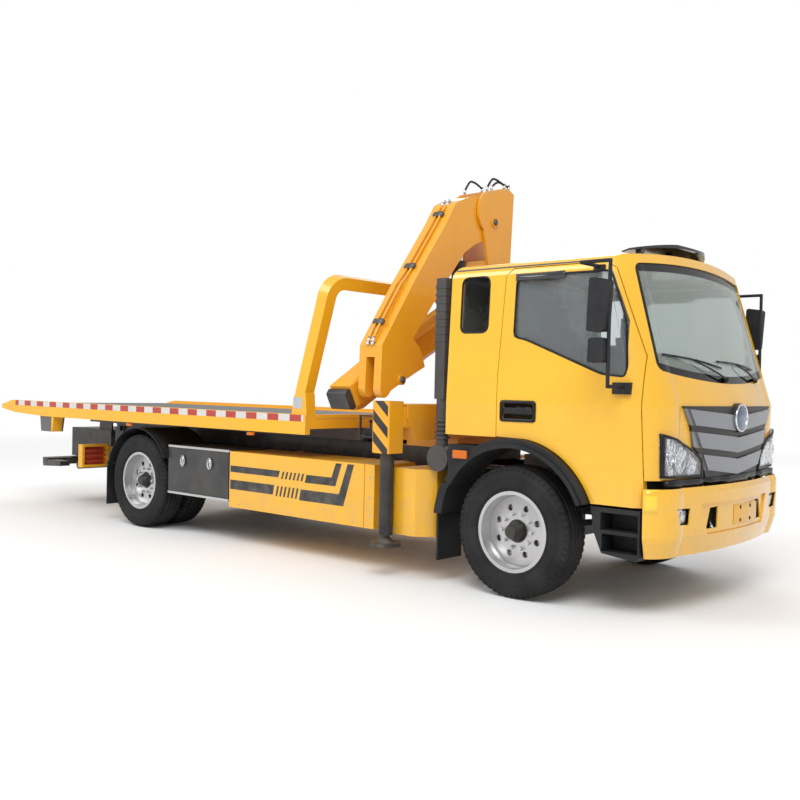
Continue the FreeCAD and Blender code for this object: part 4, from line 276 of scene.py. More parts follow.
def ramp(value, low, high):
    """Turns a value between low and high into 0 to 1."""
    return Value(value.tree, add(value.tree, "MapRange", Value=value, From_Min=low, From_Max=high).outputs[0])


def spread(value, low, high):
    """Turns a value between 0 and 1 into low to high."""
    return Value(value.tree, add(value.tree, "MapRange", Value=value, To_Min=low, To_Max=high).outputs[0])


def bump(height, strength, distance):
    made = add(height.tree, "Bump", Height=height, Strength=strength, Distance=distance)
    return Value(height.tree, made.outputs[0])


def darker(colour, share):
    return tuple(c * share for c in colour)


def new_finish(name):
    made = bpy.data.materials.new(name)
    tree = shader_tree(made)
    return made, tree, *place_of(tree)


def close(tree, **settings):
    """Ends a material with a surface that has these settings."""
    shader = add(tree, "BsdfPrincipled", **settings)
    add(tree, "OutputMaterial", Surface=shader.outputs[0])


DUST = (0.34, 0.29, 0.22)
BELT_HEIGHT = 1.44


def in_the_cabin(x, y, z):
    """1 on the inner faces of the cab and doors: inside a box whose sides and front lean in above the belt."""
    lean = (z - BELT_HEIGHT) | 0.0
    beside = abs(y) < 1.084 - lean * 0.047
    along = (x < AXLE + 0.93 - lean * 0.28) * (x > AXLE - 0.632)
    return beside * along * ((z > 1.215) * (z < 2.458))


def paint(name, colour, gloss=0.3, coat=0.6, dust=0.25, low=0.35, high=1.3, lining=None):
    """A gloss paint whose tone drifts, and which is dusty from a height of high down to low."""
    made, tree, point, x, y, z = new_finish(name)
    drift = ramp(noise(tree, point, 1.3), 0.3, 0.7)
    cloud = ramp(noise(tree, point, 7.0, 8.0, 0.65), 0.42, 0.75)
    settled = (ramp(z, high, low) * (cloud * dust)).clamped()
    tone = mix(tree, settled, mix(tree, drift, darker(colour, 0.9), colour), DUST)
    rough = (spread(noise(tree, point, 3.0), gloss - 0.05, gloss + 0.08) + settled * 0.4).clamped()
    if lining:
        inside = in_the_cabin(x, y, z)
        tone = mix(tree, inside, tone, lining)
        coat = (1.0 - inside) * coat
    close(tree, Base_Color=tone, Roughness=rough, Coat_Weight=coat, Coat_Roughness=0.06,
          Normal=bump(noise(tree, point, 220.0, 2.0), 0.05, 0.002))
    return made


CAB_YELLOW = (0.86, 0.46, 0.012)
BODY_YELLOW = (0.84, 0.43, 0.014)
CRANE_ORANGE = (0.80, 0.36, 0.012)
LINING_GREY = (0.09, 0.09, 0.088)
FRAME_BLACK = (0.014, 0.014, 0.016)
cab_paint = paint("cab_yellow", CAB_YELLOW, 0.25, 0.9, dust=0.3, low=0.4, high=1.0, lining=LINING_GREY)
body_paint = paint("body_yellow", BODY_YELLOW, 0.33, 0.5, dust=0.35, low=0.3, high=1.2)
crane_paint = paint("crane_orange", CRANE_ORANGE, 0.33, 0.6, dust=0.15, low=1.0, high=2.0)
frame_paint = paint("frame_black", FRAME_BLACK, 0.45, 0.2, dust=0.5, low=0.2, high=1.3)
print("four paints")

# %% [markdown]
# ## Plastic, rubber and metal
# Moulded plastic has a fine grain and a dull shine, and it greys a little with age. Tyre rubber is darker and
# duller still, with dust in its tread. Bare metal is bright where it is machined and cloudy where it is cast.

# %% Plastic, rubber and metal
AGED_GREY = (0.14, 0.135, 0.13)


def plastic(name, colour, rough=0.55, grain=260.0, depth=0.25, grey=0.12, shine_level=0.3):
    made, tree, point, x, y, z = new_finish(name)
    worn = ramp(noise(tree, point, 5.0, 6.0), 0.35, 0.8)
    speck = Value(tree, add(tree, "TexVoronoi", Vector=point, Scale=grain).outputs[0])
    close(tree, Base_Color=mix(tree, worn * grey, colour, AGED_GREY), Specular_IOR_Level=shine_level,
          Roughness=spread(worn, rough - 0.06, rough + 0.12), Normal=bump(speck, depth, 0.001))
    return made


def metal(name, colour, rough=0.3, cloudy=0.12, shine=1.0, brushed=0.1):
    made, tree, point, x, y, z = new_finish(name)
    cloud = ramp(noise(tree, point, 14.0, 6.0), 0.3, 0.75)
    close(tree, Base_Color=mix(tree, cloud, colour, darker(colour, 0.78)), Metallic=shine,
          Roughness=spread(cloud, rough - cloudy / 2, rough + cloudy),
          Normal=bump(noise(tree, point, 400.0, 2.0), brushed, 0.001))
    return made


dark_plastic = plastic("dark_plastic", (0.010, 0.011, 0.013))
trim_black = plastic("trim_black", (0.005, 0.005, 0.006), rough=0.28, grain=500, depth=0.06, grey=0.05)
visor_plastic = plastic("visor_plastic", (0.010, 0.011, 0.016), 0.10, 500, 0.02, grey=0.03, shine_level=0.9)
stack_plastic = plastic("stack_plastic", (0.055, 0.052, 0.050), rough=0.45, grain=300, depth=0.15, grey=0.25)
seat_cloth = plastic("seat_cloth", (0.03, 0.03, 0.034), rough=0.9, grain=420, depth=0.6, grey=0.15)
rubber = plastic("tyre_rubber", (0.012, 0.012, 0.0125), 0.75, 180, 0.2, grey=0.16, shine_level=0.2)
hose_rubber = plastic("hose_rubber", (0.008, 0.008, 0.009), rough=0.5, grain=300, depth=0.1, grey=0.1)
bright_metal = metal("bright_metal", (0.72, 0.72, 0.72), rough=0.28)
chrome = metal("chrome", (0.82, 0.82, 0.84), rough=0.08, cloudy=0.05, brushed=0.02)
cast_metal = metal("cast_metal", (0.16, 0.16, 0.165), rough=0.5, cloudy=0.2, shine=0.7, brushed=0.35)
print("plastic, rubber and metal ready")

# %% [markdown]
# ## Glass
# The side windows are clear with a grey tint, and show the dark cab behind them. The windscreen has a printed
# black edge that hides its glue. The edge is painted by the shader, which measures how far a point of the
# glass is from the middle of the screen.

# %% Glass
def clear_glass(name, colour, through):
    made, tree, point, x, y, z = new_finish(name)
    film = ramp(noise(tree, point, 2.5), 0.2, 0.9)
    close(tree, Base_Color=colour, Roughness=spread(film, 0.02, 0.06), IOR=1.45, Transmission_Weight=through)
    return made


def edged_glass(name, colour):
    """The cab's fixed glass. The screen's edge, beyond a sloping side line and two bowed ones, is black."""
    made, tree, point, x, y, z = new_finish(name)
    bow = y * y * 0.088
    side = abs(y) + z * 0.052 > 0.992
    foot = z - bow < 1.668
    head = z + bow * 0.55 > 2.415
    edge = (side | (foot | head)) * (x > AXLE + 0.4)
    close(tree, Base_Color=mix(tree, edge, colour, (0.006, 0.006, 0.007)), Roughness=0.03, IOR=1.45,
          Transmission_Weight=(1.0 - edge) * 0.8)
    return made


screen_glass = edged_glass("edged_glass", (0.60, 0.66, 0.62))
side_glass = clear_glass("side_glass", (0.62, 0.67, 0.68), through=0.88)
lamp_glass = clear_glass("lamp_glass", (0.96, 0.97, 0.98), through=0.95)
amber_glass = clear_glass("amber_glass", (0.95, 0.25, 0.01), through=0.5)
red_glass = clear_glass("red_glass", (0.7, 0.01, 0.01), through=0.4)
print("five kinds of glass")

# %% [markdown]
# ## Pieces with two finishes
# Some parts carry two colours without a seam between them: silver bars on a black grille, aluminium rails on a
# dark locker, warning stripes on the outrigger's leg. Where the border follows a simple rule of position, the
# shader can draw it: the rule gives 0 or 1 at each point, and that picks the colour, the gloss and the metal.

# %% A mask that picks a finish
def two_tone(name, rule, first, second):
    """first and second are (colour, roughness, metallic). rule(x, y, z) gives 1 where the second shows."""
    made, tree, point, x, y, z = new_finish(name)
    where = rule(x, y, z)
    worn = ramp(noise(tree, point, 4.0, 7.0), 0.35, 0.8)
    tone = mix(tree, worn * 0.14, mix(tree, where, first[0], second[0]), DUST)
    rough = (spread(where, first[1], second[1]) + worn * 0.1).clamped()
    close(tree, Base_Color=tone, Roughness=rough, Metallic=spread(where, first[2], second[2]),
          Normal=bump(noise(tree, point, 180.0, 2.0), 0.06, 0.001))
    return made


def between(value, low, high):
    return (value > low) * (value < high)


BAR_LOW, BAR_PITCH, BAR_RISE, BAR_HEIGHT = 0.952, 0.158, 0.052, 0.112
LEG_BREAK, LEG_FACE = 1.004, 1.3035
DECK_LEVEL, DECK_HALF = (1.2385, 1.2415), 1.093
HUB_RADIUS, REAR_AXLE = 0.087, -4.735


def on_a_bar(x, y, z):
    """Inside one of the grille's three shallow V bars. Each bar is wider than the one below it."""
    half = z * 0.62 - 0.128
    lift = abs(y) / half * BAR_RISE
    bar = (z - lift - BAR_LOW) / BAR_PITCH
    return (bar.fraction() < BAR_HEIGHT / BAR_PITCH) * between(bar, 0.0, 3.0)


def on_locker_rail(x, y, z):
    low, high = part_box("tool_boxes")
    return (abs(y) > high.y - 0.024) * ((z < low.z + 0.023) | (z > high.z - 0.023))


def on_leg_stripe(x, y, z):
    """Black: the outrigger's lower tube, and slanted bars on the upper part of the leg."""
    slant = (z + x * 0.9) / 0.17
    bars = slant.fraction() < 0.5
    return bars * (abs(y) > LEG_FACE) | (z < LEG_BREAK)


def on_boom_cap(x, y, z):
    """The black cap on the root end of the outer boom, past a plane square to the boom."""
    return (y + 0.962) * 0.8870 + (z - 1.598) * 0.4617 < -0.3005


def on_valve_bank(x, y, z):
    """The control valves beside the crane's foot, with their tray and guard."""
    return (y < -0.850) * (x < AXLE - 1.302)


def on_deck_top(x, y, z):
    """The plated floor of the bed, which is grey steel. The underside and the tail's blocks are black."""
    plated = between(z, *DECK_LEVEL) | (z < 1.153)
    blocks = (z < 1.101) * (x < AXLE - 6.5)
    return (abs(y) < DECK_HALF) * plated | blocks


def on_hub(x, y, z):
    """The hub cap in the middle of each wheel, which is black."""
    dx = x - ((x > AXLE - 2) * -REAR_AXLE + (AXLE + REAR_AXLE))
    dz = z - WHEEL_Z
    return (dx * dx + dz * dz).root() < HUB_RADIUS


def on_lamp_bar(x, y, z):
    """The louvres across the tail lamps."""
    low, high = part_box("tail_lamps")
    return between(abs(y), 0.775, 1.055) * between(z, low.z + 0.03, high.z - 0.03)


SILVER = ((0.30, 0.31, 0.33), 0.32, 0.85)
MATT_BLACK = ((0.010, 0.010, 0.011), 0.42, 0.0)
CAP_BLACK = ((0.012, 0.013, 0.016), 0.25, 0.0)
LOCKER_BLACK = ((0.022, 0.023, 0.026), 0.35, 0.0)
VALVE_BLACK = ((0.02, 0.02, 0.022), 0.4, 0.3)
DECK_STEEL = ((0.10, 0.10, 0.105), 0.5, 0.0)
CAGE_YELLOW = ((0.80, 0.40, 0.014), 0.35, 0.0)
LENS_RED = ((0.45, 0.05, 0.02), 0.3, 0.0)
grille_finish = two_tone("grille_finish", on_a_bar, MATT_BLACK, SILVER)
locker_finish = two_tone("locker_finish", on_locker_rail, LOCKER_BLACK, ((0.6, 0.6, 0.6), 0.3, 1.0))
leg_finish = two_tone("leg_finish", on_leg_stripe, (CRANE_ORANGE, 0.3, 0.0), MATT_BLACK)
deck_finish = two_tone("deck_finish", on_deck_top, (BODY_YELLOW, 0.35, 0.0), DECK_STEEL)
rim_finish = two_tone("rim_finish", on_hub, ((0.55, 0.55, 0.56), 0.28, 0.9), MATT_BLACK)
cage_finish = two_tone("cage_finish", on_lamp_bar, CAGE_YELLOW, LENS_RED)
boom_finish = two_tone("boom_finish", on_boom_cap, (CRANE_ORANGE, 0.33, 0.0), CAP_BLACK)
base_finish = two_tone("base_finish", on_valve_bank, (CRANE_ORANGE, 0.33, 0.0), VALVE_BLACK)
print("eight masks")

# %% [markdown]
# ## Dressing the CAD parts
# A CAD part whose shape is right only needs its finish. The table gives each finish and the parts that take
# it.

# %% Finishes of the CAD parts
DRESS = {
    cab_paint: "cab_shell door_R door_L front_bumper",
    body_paint: "side_skirts headboard",
    deck_finish: "bed_deck",
    crane_paint: "crane_column inner_boom boom_extension",
    boom_finish: "outer_boom",
    base_finish: "crane_base",
    visor_plastic: "roof_visor",
    stack_plastic: "intake_stack",
    leg_finish: "outrigger_R outrigger_L",
    frame_paint: "chassis_frame sub_frame front_axle rear_axle knuckle_R knuckle_L tilt_frame underlift "
                 "lift_arm tilt_barrels boom_barrel jack_R jack_L",
    cast_metal: "engine_block drive_shaft",
    chrome: "tilt_rods boom_rod",
    dark_plastic: "mirror_R mirror_L wheel_arches front_fairings rear_fenders dashboard",
    seat_cloth: "seats",
    screen_glass: "cab_glass",
    side_glass: "door_glass_R door_glass_L",
    grille_finish: "grille",
    locker_finish: "tool_boxes locker_lid_R locker_lid_L",
    rim_finish: "rim_front_R rim_front_L rims_rear_R rims_rear_L",
    cage_finish: "tail_lamps",
    lamp_glass: "headlamps",
    rubber: "tyre_front_R tyre_front_L tyres_rear_R tyres_rear_L",
}
for finish, names in DRESS.items():
    for name in names.split():
        slots = truck[name].data.materials
        slots.clear()
        slots.append(finish)
print(len(DRESS), "finishes on", sum(len(names.split()) for names in DRESS.values()), "parts")

# %% [markdown]
# ## Making a piece
# Each added piece starts as an empty bmesh, is shaped with bmesh operators, and becomes an object that rides
# on one of the CAD bodies. Places are given from the front axle and moved to the truck's origin at the end.

# %% From bmesh to piece
def piece(name, bm, finish, body, smooth=True):
    bmesh.ops.remove_doubles(bm, verts=bm.verts, dist=1e-5)
    bmesh.ops.recalc_face_normals(bm, faces=bm.faces)
    bmesh.ops.translate(bm, verts=bm.verts, vec=(AXLE, 0, 0))
    mesh = bpy.data.meshes.new(name)
    bm.to_mesh(mesh)
    bm.free()
    made = bpy.data.objects.new(name, mesh)
    bpy.context.scene.collection.objects.link(made)
    mesh.materials.append(finish)
    if smooth:
        mesh.shade_smooth()
    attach(made, body)
    return made


def plate(bm, points, push):
    """A flat outline through points, pushed along a vector into a solid."""
    face = bm.faces.new([bm.verts.new(p) for p in points])
    made = bmesh.ops.extrude_face_region(bm, geom=[face])
    verts = [v for v in made["geom"] if isinstance(v, bmesh.types.BMVert)]
    bmesh.ops.translate(bm, verts=verts, vec=push)
    return list(face.verts) + verts


def corners_of(x, z):
    return [(x[0], z[0]), (x[1], z[0]), (x[1], z[1]), (x[0], z[1])]


def box(bm, x, y, z, side=1):
    """A block between two values on each axis. A side of -1 puts it on the truck's right."""
    return plate(bm, [(x_at, side * y_at, z[0]) for x_at, y_at in corners_of(x, y)], (0, 0, z[1] - z[0]))


def soften(bm, width, segments=2, sharper=0.5):
    """Rounds the edges whose faces meet at more than an angle."""
    edges = [e for e in bm.edges if e.is_manifold and e.calc_face_angle(0) > sharper]
    bmesh.ops.bevel(bm, geom=edges, offset=width, affect="EDGES", segments=segments, profile=0.5, material=-1)


def rod(bm, start, end, radius, segments=20, radius_end=None):
    start, end = Vector(start), Vector(end)
    way = end - start
    turn = way.to_track_quat("Z", "Y").to_matrix().to_4x4()
    bmesh.ops.create_cone(bm, cap_ends=True, segments=segments, radius1=radius,
                          radius2=radius if radius_end is None else radius_end, depth=way.length,
                          matrix=Matrix.Translation((start + end) / 2) @ turn)


ALONG_X, ALONG_Y = Vector((1, 0, 0)), Vector((0, 1, 0))


def lathe(bm, profile, centre, axis=ALONG_Y, steps=72):
    """Spins a closed profile of (distance along the axis, radius) about an axis through a centre."""
    outwards = ALONG_X if axis == ALONG_Y else ALONG_Y
    verts = [bm.verts.new(Vector(centre) + axis * along + outwards * radius) for along, radius in profile]
    edges = [bm.edges.new(pair) for pair in zip(verts, verts[1:] + verts[:1])]
    bmesh.ops.spin(bm, geom=verts + edges, cent=centre, axis=axis, angle=math.tau, steps=steps,
                   use_merge=True)


def ball(bm, place, radius, rings=12):
    made = bmesh.ops.create_uvsphere(bm, u_segments=20, v_segments=rings, radius=radius)
    bmesh.ops.translate(bm, verts=made["verts"], vec=place)


def turns(count):
    """Angles that divide a full turn into equal parts."""
    return [math.tau * k / count for k in range(count)]


def oval(centre, half_width, half_height, count=64):
    across, up = centre
    return [(across + half_width * math.cos(a), up + half_height * math.sin(a)) for a in turns(count)]


def join_rings(bm, rings, closed=False, capped=True):
    """Puts faces between rings of points. Then the last ring meets the first one, or both ends are capped."""
    rings = [[bm.verts.new(point) for point in ring] for ring in rings]
    for low, high in zip(rings, rings[1:] + rings[:1] if closed else rings[1:]):
        for k in range(len(low)):
            after = (k + 1) % len(low)
            bm.faces.new([low[k], low[after], high[after], high[k]])
    if capped and not closed:
        bm.faces.new(rings[0])
        bm.faces.new(rings[-1])


def both_sides(*makers):
    """Calls each maker for the right side and for the left side: side is -1 and +1."""
    for make in makers:
        for side in (-1, 1):
            make(side)


def letter(side):
    return "R" if side < 0 else "L"


def word(side):
    return "right" if side < 0 else "left"


print("helpers ready")

# %% [markdown]
# ## Tyres
# A truck tyre is recognised by its ribs, by the grooves between them and by the lugs on its shoulders, which
# throw off water. A profile with the grooves in it is spun into the body. A lug is a small block, made once
# and repeated round the axle by the same operator.

# %% Tyres
TYRE_R = 0.4895
GROOVES = (-0.066, -0.022, 0.022, 0.066)
GROOVE_DEPTH = 0.013
WALL = [(0.100, 0.289), (0.118, 0.300), (0.130, 0.335), (0.135, 0.375), (0.134, 0.415), (0.128, 0.446),
        (0.122, 0.462), (0.116, 0.474), (0.106, 0.481)]
LUG = [(0.4775, 0.086), (0.4870, 0.086), (0.4835, 0.112), (0.4690, 0.1235), (0.4520, 0.129), (0.4520, 0.112)]
LUG_WIDTH, LUG_COUNT = 0.025, 60
REAR_WHEELS = (1.047, 0.735)
FRONT_WHEELS = (1.002,)


def tyre_profile(middle):
    """A tyre's section from bead to bead, as (distance along the axle, radius), with grooves in its tread."""
    line = [(-out, radius) for out, radius in WALL]
    for centre in GROOVES:
        crown = TYRE_R - 0.006 * (centre / 0.1) ** 2
        line += [(centre - 0.008, crown), (centre - 0.004, crown - GROOVE_DEPTH),
                 (centre + 0.004, crown - GROOVE_DEPTH), (centre + 0.008, crown)]
    line += reversed(WALL)
    return [(middle + along, radius) for along, radius in line]


def shoulder_blocks(bm, centre, middle):
    """Small raised lugs on both shoulders, repeated round the axle."""
    corner = Vector(centre) + Vector((0, middle, 0))
    for side in (-1, 1):
        outline = [corner + Vector((radius, side * out, -LUG_WIDTH / 2)) for radius, out in LUG]
        verts = plate(bm, outline, (0, 0, LUG_WIDTH))
        geom = verts + [e for e in bm.edges if e.verts[0] in verts and e.verts[1] in verts]
        geom += [f for f in bm.faces if all(v in verts for v in f.verts)]
        bmesh.ops.spin(bm, geom=geom, cent=corner, axis=(0, 1, 0), angle=math.tau * (1 - 1 / LUG_COUNT),
                       steps=LUG_COUNT - 1, use_duplicate=True)


def wall_rings(bm, centre, middle):
    """Two fine rings on each sidewall, as moulds leave them."""
    for side in (-1, 1):
        for radius, out in ((0.318, 0.1265), (0.398, 0.1355)):
            foot, crest = middle + side * (out - 0.002), middle + side * (out + 0.0015)
            lathe(bm, [(foot, radius - 0.003), (crest, radius), (foot, radius + 0.003)], centre)


def dress_tyre(name, body, x, middles):
    bm = bmesh.new()
    centre = (x, 0, WHEEL_Z)
    for middle in middles:
        lathe(bm, tyre_profile(middle), centre, steps=96)
        shoulder_blocks(bm, centre, middle)
        wall_rings(bm, centre, middle)
    made = piece("dressed_" + name, bm, rubber, body)
    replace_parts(made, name)


def tyres(side):
    dress_tyre("tyre_front_" + letter(side), "wheel_front_" + word(side), 0, [side * y for y in FRONT_WHEELS])
    dress_tyre("tyres_rear_" + letter(side), "wheels_rear_" + word(side), REAR_AXLE,
               [side * y for y in REAR_WHEELS])


both_sides(tyres)
print("six tyres")

# %% [markdown]
# ## Laying a piece on a curved face
# The cab's front is bowed, so a wiper or a lamp cover can't be placed with one number. The helper shoots a ray
# at the CAD parts and gives the point where it lands, moved off the surface by a small amount.

# %% Finding the surface
def skin_of(*names):
    verts, faces = [], []
    for name in names:
        mesh = truck[name].data
        start = len(verts)
        verts += [v.co.copy() for v in mesh.vertices]
        faces += [[start + i for i in p.vertices] for p in mesh.polygons]
    return BVHTree.FromPolygons(verts, faces)


def land(skin, point, way, off):
    """Where a ray from a point (counted from the front axle) lands, moved back towards its start by off."""
    way = Vector(way).normalized()
    start = Vector(point) + Vector((AXLE, 0, 0)) - way * 0.5
    found = skin.ray_cast(start, way)[0]
    where = found if found is not None else Vector(point) + Vector((AXLE, 0, 0))
    return where - way * off - Vector((AXLE, 0, 0))


def on_the_face(y, z, skin, off=0.0):
    """The point of a skin that lies straight behind (y, z), seen from the front."""
    return land(skin, (1.6, y, z), (-1, 0, 0), off)


def hose(bm, points, radius, segments, tip=None):
    """A round tube through points, with rings square to the way at each of them."""
    rings = []
    side = None
    for i, p in enumerate(points):
        way = (points[min(i + 1, len(points) - 1)] - points[max(i - 1, 0)]).normalized()
        if side is None:
            side = way.orthogonal().normalized()
        side = (side - way * side.dot(way)).normalized()
        other = way.cross(side)
        r = radius if tip is None else radius + (tip - radius) * i / (len(points) - 1)
        rings.append([p + (side * math.cos(a) + other * math.sin(a)) * r for a in turns(segments)])
    join_rings(bm, rings)


def loop_tube(bm, points, radius, segments=8):
    """A closed tube round an outline, such as a window's seal."""
    count = len(points)
    rings = []
    for i, p in enumerate(points):
        way = (points[(i + 1) % count] - points[i - 1]).normalized()
        side = way.cross(Vector((0.3, 0.9, 0.2))).normalized()
        other = way.cross(side)
        rings.append([p + (side * math.cos(a) + other * math.sin(a)) * radius for a in turns(segments)])
    join_rings(bm, rings, closed=True)


def curve_through(points, steps):
    """A smooth line through points, with a few steps between each pair."""
    points = [Vector(p) for p in points]
    ends = [points[0] * 2 - points[1]] + points + [points[-1] * 2 - points[-2]]
    line = []
    for a, b, c, d in zip(ends, ends[1:], ends[2:], ends[3:]):
        for k in range(steps):
            t = k / steps
            line.append(0.5 * (2 * b + (c - a) * t + (2 * a - 5 * b + 4 * c - d) * t * t
                               + (3 * b - a - 3 * c + d) * t * t * t))
    return line + [points[-1]]


CORNER_STEPS = 6


def rounded(corners, radius):
    """The corners of a flat outline, each turned into a short curve."""
    corners = [Vector(c) for c in corners]
    line = []
    for i, corner in enumerate(corners):
        before, after = corners[i - 1] - corner, corners[(i + 1) % len(corners)] - corner
        reach = min(radius, before.length * 0.45, after.length * 0.45)
        start, end = corner + before.normalized() * reach, corner + after.normalized() * reach
        for k in range(CORNER_STEPS + 1):
            t = k / CORNER_STEPS
            line.append(start * (1 - t) ** 2 + corner * 2 * t * (1 - t) + end * t * t)
    return line


def rounded_flat(corners, radius):
    return [(p.x, p.y) for p in rounded([(a, b, 0) for a, b in corners], radius)]


def dense(line, gap):
    """The same closed line with points no further apart than a gap."""
    out = []
    for a, b in zip(line, line[1:] + line[:1]):
        parts = max(1, math.ceil((b - a).length / gap))
        out += [a.lerp(b, k / parts) for k in range(parts)]
    return out


cab_skin = skin_of("cab_shell", "grille", "headlamps", "cab_glass", "door_R", "door_L")
print("the surface of the cab is ready")

# %% [markdown]
# ## Headlamps
# A modern headlamp is a clear cover over a silvery bowl. The bowl holds a main lamp, a dipped lamp and an
# indicator, each with its own mirror. What makes it look real is depth: light passes the cover, is bent by it,
# and comes back from several curved mirrors. So the lamp is built as it is made, in a black frame.

# %% Headlamps
LAMP_GAP, LAMP_EDGE, LAMP_DEPTH = 0.002, 0.017, 0.0225
MIRRORS = [(0.660, 1.035, 0.066), (0.800, 1.070, 0.078), (0.925, 1.100, 0.052), (0.915, 1.005, 0.036)]
MIRROR_PROFILE = [(0.0, 0.12), (0.002, 0.45), (0.007, 0.75), (0.014, 0.94), (0.016, 1.0), (0.013, 1.04),
                  (-0.001, 0.8), (-0.001, 0.12)]
LAMP = [(-0.515, 0.948), (-0.535, 1.070), (-0.650, 1.150), (-0.871, 1.231), (-1.006, 1.266), (-0.990, 0.962)]


def drawn_in(outline, gap):
    """A convex outline with each side moved inwards by a gap."""
    middle = sum((Vector(p) for p in outline), Vector((0, 0))) / len(outline)
    lines = []
    for a, b in zip(outline, outline[1:] + outline[:1]):
        a, b = Vector(a), Vector(b)
        normal = Vector((-(b - a).y, (b - a).x)).normalized()
        if (middle - a).dot(normal) < 0:
            normal = -normal
        lines.append((a + normal * gap, (b - a)))
    points = []
    for (p, d), (q, e) in zip(lines[-1:] + lines[:-1], lines):
        t = ((q - p).x * e.y - (q - p).y * e.x) / (d.x * e.y - d.y * e.x)
        points.append(p + d * t)
    return points


def front_sheet(bm, outline, skin, off, cell=0.03):
    """A fine sheet inside a convex outline, seen from the front, laid on the cab's face."""
    ys, zs = [p[0] for p in outline], [p[1] for p in outline]
    size = max(max(ys) - min(ys), max(zs) - min(zs)) / 2 + cell
    middle = Vector(((min(ys) + max(ys)) / 2, (min(zs) + max(zs)) / 2))
    parts = math.ceil(size * 2 / cell)
    grid = bmesh.ops.create_grid(bm, x_segments=parts, y_segments=parts, size=size)["verts"]
    for v in grid:
        v.co = Vector((1.0, middle.x + v.co.x, middle.y + v.co.y))
    for a, b in zip(outline, outline[1:] + outline[:1]):
        a, b = Vector((1.0, a[0], a[1])), Vector((1.0, b[0], b[1]))
        out = (b - a).cross(Vector((1, 0, 0))).normalized()
        if (Vector((1.0, middle.x, middle.y)) - a).dot(out) > 0:
            out = -out
        geom = list(bm.verts) + list(bm.edges) + list(bm.faces)
        bmesh.ops.bisect_plane(bm, geom=geom, plane_co=a, plane_no=out, clear_outer=True)
    for v in bm.verts:
        v.co = on_the_face(v.co.y, v.co.z, skin, off)
    return list(bm.faces)


def pushed(bm, faces, depth):
    """Makes a sheet thick: its copy lies behind it, and the rim is closed."""
    made = bmesh.ops.extrude_face_region(bm, geom=faces, use_keep_orig=True)
    for v in made["geom"]:
        if isinstance(v, bmesh.types.BMVert):
            v.co.x -= depth


def faceted_metal(name):
    """Bright metal pressed into small facets, as the reflectors of a headlamp are."""
    made, tree, point, x, y, z = new_finish(name)
    facets = Value(tree, add(tree, "TexVoronoi", Vector=point, Scale=34.0).outputs[0])
    tone = mix(tree, ramp(facets, 0.1, 0.9), (0.95, 0.96, 0.98), (0.62, 0.64, 0.68))
    close(tree, Base_Color=tone, Metallic=0.85, Roughness=0.16, Normal=bump(facets, 0.9, 0.02))
    return made


lamp_silver = faceted_metal("lamp_silver")


def lamp_parts(side):
    outline = [(-side * y, z) for y, z in LAMP]
    edging = bmesh.new()
    rim, edge = drawn_in(outline, LAMP_GAP), drawn_in(outline, LAMP_EDGE)
    rings = []
    for corners, off, back in ((rim, 0.0, 0.020), (rim, 0.003, 0.0), (edge, 0.003, 0.0), (edge, 0.0, 0.0245)):
        line = [a.lerp(b, k / 14) for a, b in zip(corners, corners[1:] + corners[:1]) for k in range(14)]
        rings.append([on_the_face(p.x, p.y, cab_skin, off) - Vector((back, 0, 0)) for p in line])
    join_rings(edging, rings, capped=False)
    piece("lamp_frame_" + letter(side), edging, trim_black, "cab")

    bowl = bmesh.new()
    pushed(bowl, front_sheet(bowl, drawn_in(outline, LAMP_GAP * 2), cab_skin, -LAMP_DEPTH, cell=0.05), 0.0025)
    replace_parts(piece("lamp_bowl_" + letter(side), bowl, lamp_silver, "cab"), "headlamps")

    mirrors, bulbs = bmesh.new(), bmesh.new()
    for y, z, radius in MIRRORS:
        back = on_the_face(side * y, z, cab_skin).x - LAMP_DEPTH + 0.001
        profile = [(along, radius * share) for along, share in MIRROR_PROFILE]
        lathe(mirrors, profile, (back, side * y, z), ALONG_X, steps=40)
        ball(bulbs, (back + 0.006, side * y, z), min(radius * 0.22, 0.013))
    piece("lamp_mirrors_" + letter(side), mirrors, lamp_silver, "cab")
    piece("lamp_bulbs_" + letter(side), bulbs, lamp_glass, "cab")

    cover = bmesh.new()
    pushed(cover, front_sheet(cover, drawn_in(outline, 0.0165), cab_skin, 0.001), 0.004)
    piece("lamp_cover_" + letter(side), cover, lamp_glass, "cab")


both_sides(lamp_parts)
print("two headlamps, each a frame, a bowl, four mirrors, bulbs and a cover")

# %% [markdown]
# ## Wipers
# Two wipers are parked along the foot of the screen. Each turns on a spindle in the cowl below the glass, and
# its arm carries a thin blade that must follow the bow of the screen.

# %% Wipers
def wiper(number, spindle, knee, tip, tail):
    bm = bmesh.new()
    foot = on_the_face(*spindle, cab_skin)
    rod(bm, foot, foot + Vector((0.034, 0, 0.006)), 0.021, 24)
    rod(bm, foot + Vector((0.030, 0, 0.006)), foot + Vector((0.040, 0, 0.008)), 0.013, 24)
    middle = on_the_face(*knee, cab_skin, 0.030)
    start = foot + Vector((0.030, 0, 0.004))
    arm = curve_through([start, start.lerp(middle, 0.5) + Vector((0.012, 0, 0)), middle], 6)
    hose(bm, arm, 0.0085, 10, 0.0055)
    line = []
    for k in range(25):
        t = k / 24
        y, z = tail[0] + (tip[0] - tail[0]) * t, tail[1] + (tip[1] - tail[1]) * t
        line.append(on_the_face(y, z + 0.012 * math.sin(math.pi * t), cab_skin, 0.011))
    hose(bm, line, 0.0075, 10)
    hose(bm, [p + Vector((0.010, 0, 0)) for p in line[4:21]], 0.0045, 8)
    rod(bm, line[12] + Vector((-0.002, 0, 0)), middle, 0.007, 12)
    piece("wiper_" + str(number), bm, trim_black, "cab")


wiper(1, (-0.075, 1.640), (-0.440, 1.752), (-0.860, 1.800), (-0.090, 1.728))
wiper(2, (0.560, 1.645), (0.230, 1.752), (-0.130, 1.775), (0.600, 1.735))
print("two wipers")

